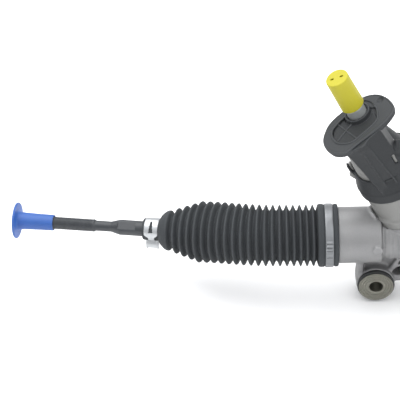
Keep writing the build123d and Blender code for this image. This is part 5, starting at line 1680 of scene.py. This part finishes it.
@dataclass(frozen=True)
class Clamps:
    """The two clamps of a bellows: a crimped band on the housing and a slotted one on the rod.

    Angles are in degrees, counted as a band's are.
    """

    side: Side
    thickness: float = 0.9
    large: float = 35.1
    large_from: float = -76.4
    large_to: float = -68.2
    crimp_inset: float = 0.8
    crimp_angles: tuple = (-8, -5, -2, 3, 7, 11, 14, 17, 21, 25, 28, 31, 34)
    crimp_heights: tuple = (0, 1.5, 0.4, 2.4, 2.2, 0.4, 2.1, 0.4, 2.4, 0.4, 2.0, 0.3, 0)
    small: float = 13.1
    small_from: float = 117.0
    small_to: float = 132.0
    slot_angles: tuple = (21, 82)
    tongue_angles: tuple = (-34, 9)
    lug_angles: tuple = (-29, -34, -40, -46, -53, -60, -65, -68)
    lug_radii: tuple = (12.9, 13.8, 17.2, 20.3, 21.3, 20.6, 17.4, 12.9)
    lug_rim: float = 0.9

    def build(self) -> None:
        """Makes both clamps with their crimp, tongue and lug."""
        side, mirror = self.side.value, self.side is Side.RIGHT
        large = Band(
            f"{side}_large_clamp_band", "housing", f"{side}_large_clamp", rack_axes(self.side),
            mirror, self.large_from, self.large_to, self.large, self.thickness, DULL_BAND_STEEL,
        )
        large.strip(16, 240)
        self.crimp(mirror)
        small = Band(
            f"{side}_small_clamp_band", f"{side}_swing", f"{side}_small_clamp", rod_axes(self.side),
            mirror, self.small_from, self.small_to, self.small, self.thickness,
        )
        small.strip(44, 300, self.keyhole)
        self.lug(mirror)

    def keyhole(self, share: np.ndarray, angle: np.ndarray) -> np.ndarray:
        """Which cells of the small band stay: all but a slot, and two notches beside a tongue.

        Args:
            share: share along the width.
            angle: angle round it.

        Returns:
            True for each cell that stays.
        """
        (slot_end, slot_root), (tongue_tip, tongue_root) = self.slot_angles, self.tongue_angles
        across = np.abs((share - 0.5) * (self.small_to - self.small_from))
        narrow = across < 1.0 + (slot_root - angle) * 0.0225
        slot = (angle < slot_root) & (angle > slot_end) & narrow
        beside = across > np.maximum(3.4, 7.5 - (tongue_root - angle) * 0.25)
        notches = (angle <= tongue_root) & (angle > tongue_tip) & beside
        return ~(slot | notches)

    def crimp(self, mirror: bool) -> None:
        """The ear of the large band: a low bridge with two pinched sides.

        Its height over the band runs straight between a few heights round it. The section is an
        oblong with its two outer edges broken.

        Args:
            mirror: True at the far end.
        """
        name, rows_round, broken = f"{self.side.value}_large_clamp", 90, 0.3
        degrees = np.linspace(self.crimp_angles[0], self.crimp_angles[-1], rows_round)
        angle = mirrored(np.radians(degrees), mirror)
        wave = np.interp(degrees, self.crimp_angles, self.crimp_heights)
        foot, crest = self.large - 0.5 + 0 * wave, self.large + wave
        start, end = self.large_from + self.crimp_inset, self.large_to - self.crimp_inset
        section = [
            (start, foot), (start + 0.4, foot), (end - 0.4, foot), (end, foot),
            (end, crest - broken), (start, crest - broken),
        ]
        local = np.stack([round_points(radius, angle, across) for across, radius in section])
        faces = grid_faces(len(section), rows_round, True, False)
        caps = end_caps(((0, 1, 4, 5), (1, 2, 3, 4)), rows_round)
        points = rack_axes(self.side).place(local)
        piece = sharpen(new_piece(f"{name}_crimp", points, np.concatenate([faces, caps])))
        ship(piece, DULL_BAND_STEEL, "housing", name, slot="clamp_steel")

    def lug(self, mirror: bool) -> None:
        """The small clamp's lug: a shallow tray pressed out under the band, rimmed at either side.

        Its radius runs straight between a few radii round it.

        Args:
            mirror: True at the far end.
        """
        name, rows_round = f"{self.side.value}_small_clamp", 60
        degrees = np.linspace(self.lug_angles[0], self.lug_angles[-1], rows_round)
        height = np.interp(-degrees, np.negative(self.lug_angles), self.lug_radii)
        angle = np.radians(180 - degrees if mirror else degrees)
        start, end = self.small_from + 0.6, self.small_to - 0.8
        foot, rim = self.small - 0.3, self.lug_rim
        section = [
            (start, None), (start, 0.3), (start + 0.4, 0.0), (start + 1.4, 0.0), (start + 1.9, rim),
            (end - 1.9, rim), (end - 1.4, 0.0), (end - 0.4, 0.0), (end, 0.3), (end, None),
        ]
        rows = []
        for across, sink in section:
            radius = foot + 0 * height if sink is None else np.maximum(height - sink, foot + 0.05)
            rows.append(round_points(radius, angle, across))
        faces = grid_faces(len(rows), rows_round, True, False)
        caps = end_caps(((0, 1, 8, 9), (1, 2, 7, 8), (2, 3, 6, 7), (3, 4, 5, 6)), rows_round)
        points = rod_axes(self.side).place(np.stack(rows))
        piece = sharpen(new_piece(f"{name}_lug", points, np.concatenate([faces, caps])))
        ship(piece, BAND_STEEL, f"{self.side.value}_swing", name, slot="clamp_steel")


@dataclass(frozen=True)
class Bush:
    """A mounting bush: a steel sleeve with a ringed head, in a lipped rubber."""

    side: Side
    centre: float
    hole: float = 7.3
    sleeve: float = 12.0
    skin: float = 17.45
    head_rings: tuple = (
        (21.0, 18.7), (20.9, 17.9), (20.2, 16.9), (21.0, 15.8), (20.9, 15.1), (20.2, 14.1),
        (21.0, 13.0), (20.9, 12.3), (20.3, 11.3), (21.2, 10.0), (21.2, 9.2), (20.9, 8.1),
    )

    def build(self) -> None:
        """Makes the sleeve and the rubber, both turned about the bolt's axis."""
        side, axes = self.side.value, Axes.along((self.centre, 0, 0), FORWARD, UP)
        hole, sleeve, skin = self.hole, self.sleeve, self.skin
        outline = [
            (-21, hole), (-21, sleeve), (19.5, sleeve), (19.5, 18.6), (19.9, 19.2), (20.6, 19.2),
            *self.head_rings, (20.0, hole),
        ]
        ringed = lathe(f"{side}_bush_sleeve_ringed", outline, axes, 0.3, 144)
        ship(ringed, OLIVE_STEEL, "housing", f"{side}_bush_sleeve", slot="bush_steel")
        inner = sleeve + 0.05
        lip = [
            (-19.0, inner), (-19.0, 16.8), (-18.2, skin), (14.05, skin), (14.05, 19.6), (15.2, 20.3),
            (17.6, 20.6), (19.0, 20.2), (19.4, 18.8), (19.45, inner),
        ]
        lipped = lathe(f"{side}_bush_rubber_lipped", lip, axes, 0.7, 128)
        ship(lipped, BUSH_RUBBER, "housing", f"{side}_bush_rubber", slot="bush_rubber")


# -------------------------------------------------------- CAD pieces that are shown as they are
KEPT = {
    ZINC_STEEL: ("tower_screws", "yoke_lock_nut", "pinion_end_plug"),
    MACHINED_ALUMINIUM: ("yoke", "yoke_plug"),
    RACK_STEEL: ("rack_bar", "left_socket", "right_socket", "pinion_shaft", "torsion_bar"),
    BEARING_STEEL: (
        "upper_bearing_outer_race", "upper_bearing_inner_race", "upper_bearing_balls",
        "bearing_circlip", "lower_bearing_cup", "lower_bearing_needles",
    ),
    SPRING_STEEL: ("yoke_spring", "left_lock_washer", "right_lock_washer"),
    ACETAL: ("left_ball_seat", "right_ball_seat", "yoke_liner", "rack_bush"),
    SENSOR_PLASTIC: ("torque_sensor_rotor", "torque_sensor_stator"),
    BUSH_RUBBER: ("pinion_oil_seal",),
}


def dress_kept_nodes() -> None:
    """Gives every CAD node that stays in view its finish."""
    for finish, names in KEPT.items():
        for name in names:
            Paint.on(frame["nodes"][name], finish)


# -------------------------------------------------------- camera, light and floor
@dataclass(frozen=True)
class Studio:
    """A white table under a large soft light, with a long lens from the front and above."""

    right: tuple = (0.99939, -0.03490, 0.0)
    up: tuple = (0.02335, 0.66873, 0.74314)
    back: tuple = (-0.02593, -0.74269, 0.66913)
    reach: float = 16.0
    width: float = 0.44
    film: float = 36.0
    shift: tuple = (-0.1928, 0.08206)
    horizon: float = 0.3
    zenith: float = 1.5

    def basis(self) -> np.ndarray:
        """The camera's right, up and back directions."""
        return np.array([self.right, self.up, self.back])

    def camera(self) -> None:
        """Places the camera so that its picture is as wide, at the object, as the width."""
        lens = bpy.data.cameras.new("Camera")
        lens.sensor_width = self.film
        lens.lens = self.film * self.reach / self.width
        lens.clip_end = 100
        made = bpy.data.objects.new("Camera", lens)
        bpy.context.scene.collection.objects.link(made)
        axes = self.basis()
        spot = np.array([*self.shift, self.reach]) @ axes
        made.matrix_world = Matrix([*np.column_stack([axes.T, spot]).tolist(), [0, 0, 0, 1]])
        bpy.context.scene.camera = made

    def lamp(self, name: str, place: tuple, size: float, power: float) -> None:
        """Adds a square soft light.

        Args:
            name: its name.
            place: how far it is right, up and back of the object, in metres.
            size: its side in metres.
            power: its power in watts.
        """
        light = bpy.data.lights.new(name, "AREA")
        light.energy, light.size = power, size
        made = bpy.data.objects.new(name, light)
        bpy.context.scene.collection.objects.link(made)
        spot = np.array(place) @ self.basis()
        made.location = spot
        aim = Vector(RACK_LINE) * MM - Vector(spot)
        made.rotation_euler = aim.to_track_quat("-Z", "Y").to_euler()

    def surroundings(self) -> None:
        """White all round, a little darker towards the horizon, so that metal shows its form."""
        world = bpy.data.worlds.new("White")
        world.use_nodes = True
        bpy.context.scene.world = world
        tree = world.node_tree
        place = add_node(tree, "ShaderNodeTexCoord", {}, {}).outputs["Generated"]
        parts = add_node(tree, "ShaderNodeSeparateXYZ", {}, {0: place})
        level = mapped(tree, parts.outputs["Z"], (0.0, 0.8), (self.horizon, self.zenith))
        tree.links.new(level, tree.nodes["Background"].inputs["Strength"])
        tree.nodes["Background"].inputs["Color"].default_value = linear("F8F9FB")

    def floor(self) -> None:
        """The table, just under the lowest point."""
        low = CAD_BOX[0][2] / MM - 1
        far = 6000.0
        corners = np.array([(-far, -far, low), (far, -far, low), (far, far, low), (-far, far, low)])
        table = new_piece("white_table", corners, np.array([[0, 1, 2, 3]]), merge=False)
        # White laminate, lightly textured: matte, so its shadows are soft and it mirrors nothing.
        white = bpy.data.materials.new("white_laminate")
        white.use_nodes = True
        shader = white.node_tree.nodes["Principled BSDF"]
        shader.inputs["Base Color"].default_value = linear("FDFDFD")
        shader.inputs["Roughness"].default_value = 0.9
        table.data.materials.append(white)

    def build(self) -> None:
        """Sets up the scene round the object."""
        self.camera()
        self.surroundings()
        self.floor()
        self.lamp("Key", (-0.8, 2.2, 1.0), 2.8, 60)
        self.lamp("Fill", (1.4, 0.6, 1.8), 2.4, 16)
        bpy.context.scene.view_settings.view_transform = "Standard"


def main() -> None:
    """Builds the pieces, dresses them and sets the scene."""
    logging.basicConfig(level=logging.INFO, format="%(message)s")
    Housing().build()
    Tower().build()
    Cover().build()
    InputShaft().build()
    for side in Side:
        TieRod(side).build()
        Bellows(side).build()
        Clamps(side).build()
        Bush(side, 0.0 if side is Side.LEFT else Housing().spacing).build()
    dress_kept_nodes()
    Studio().build()


if __name__ == "__main__":
    main()
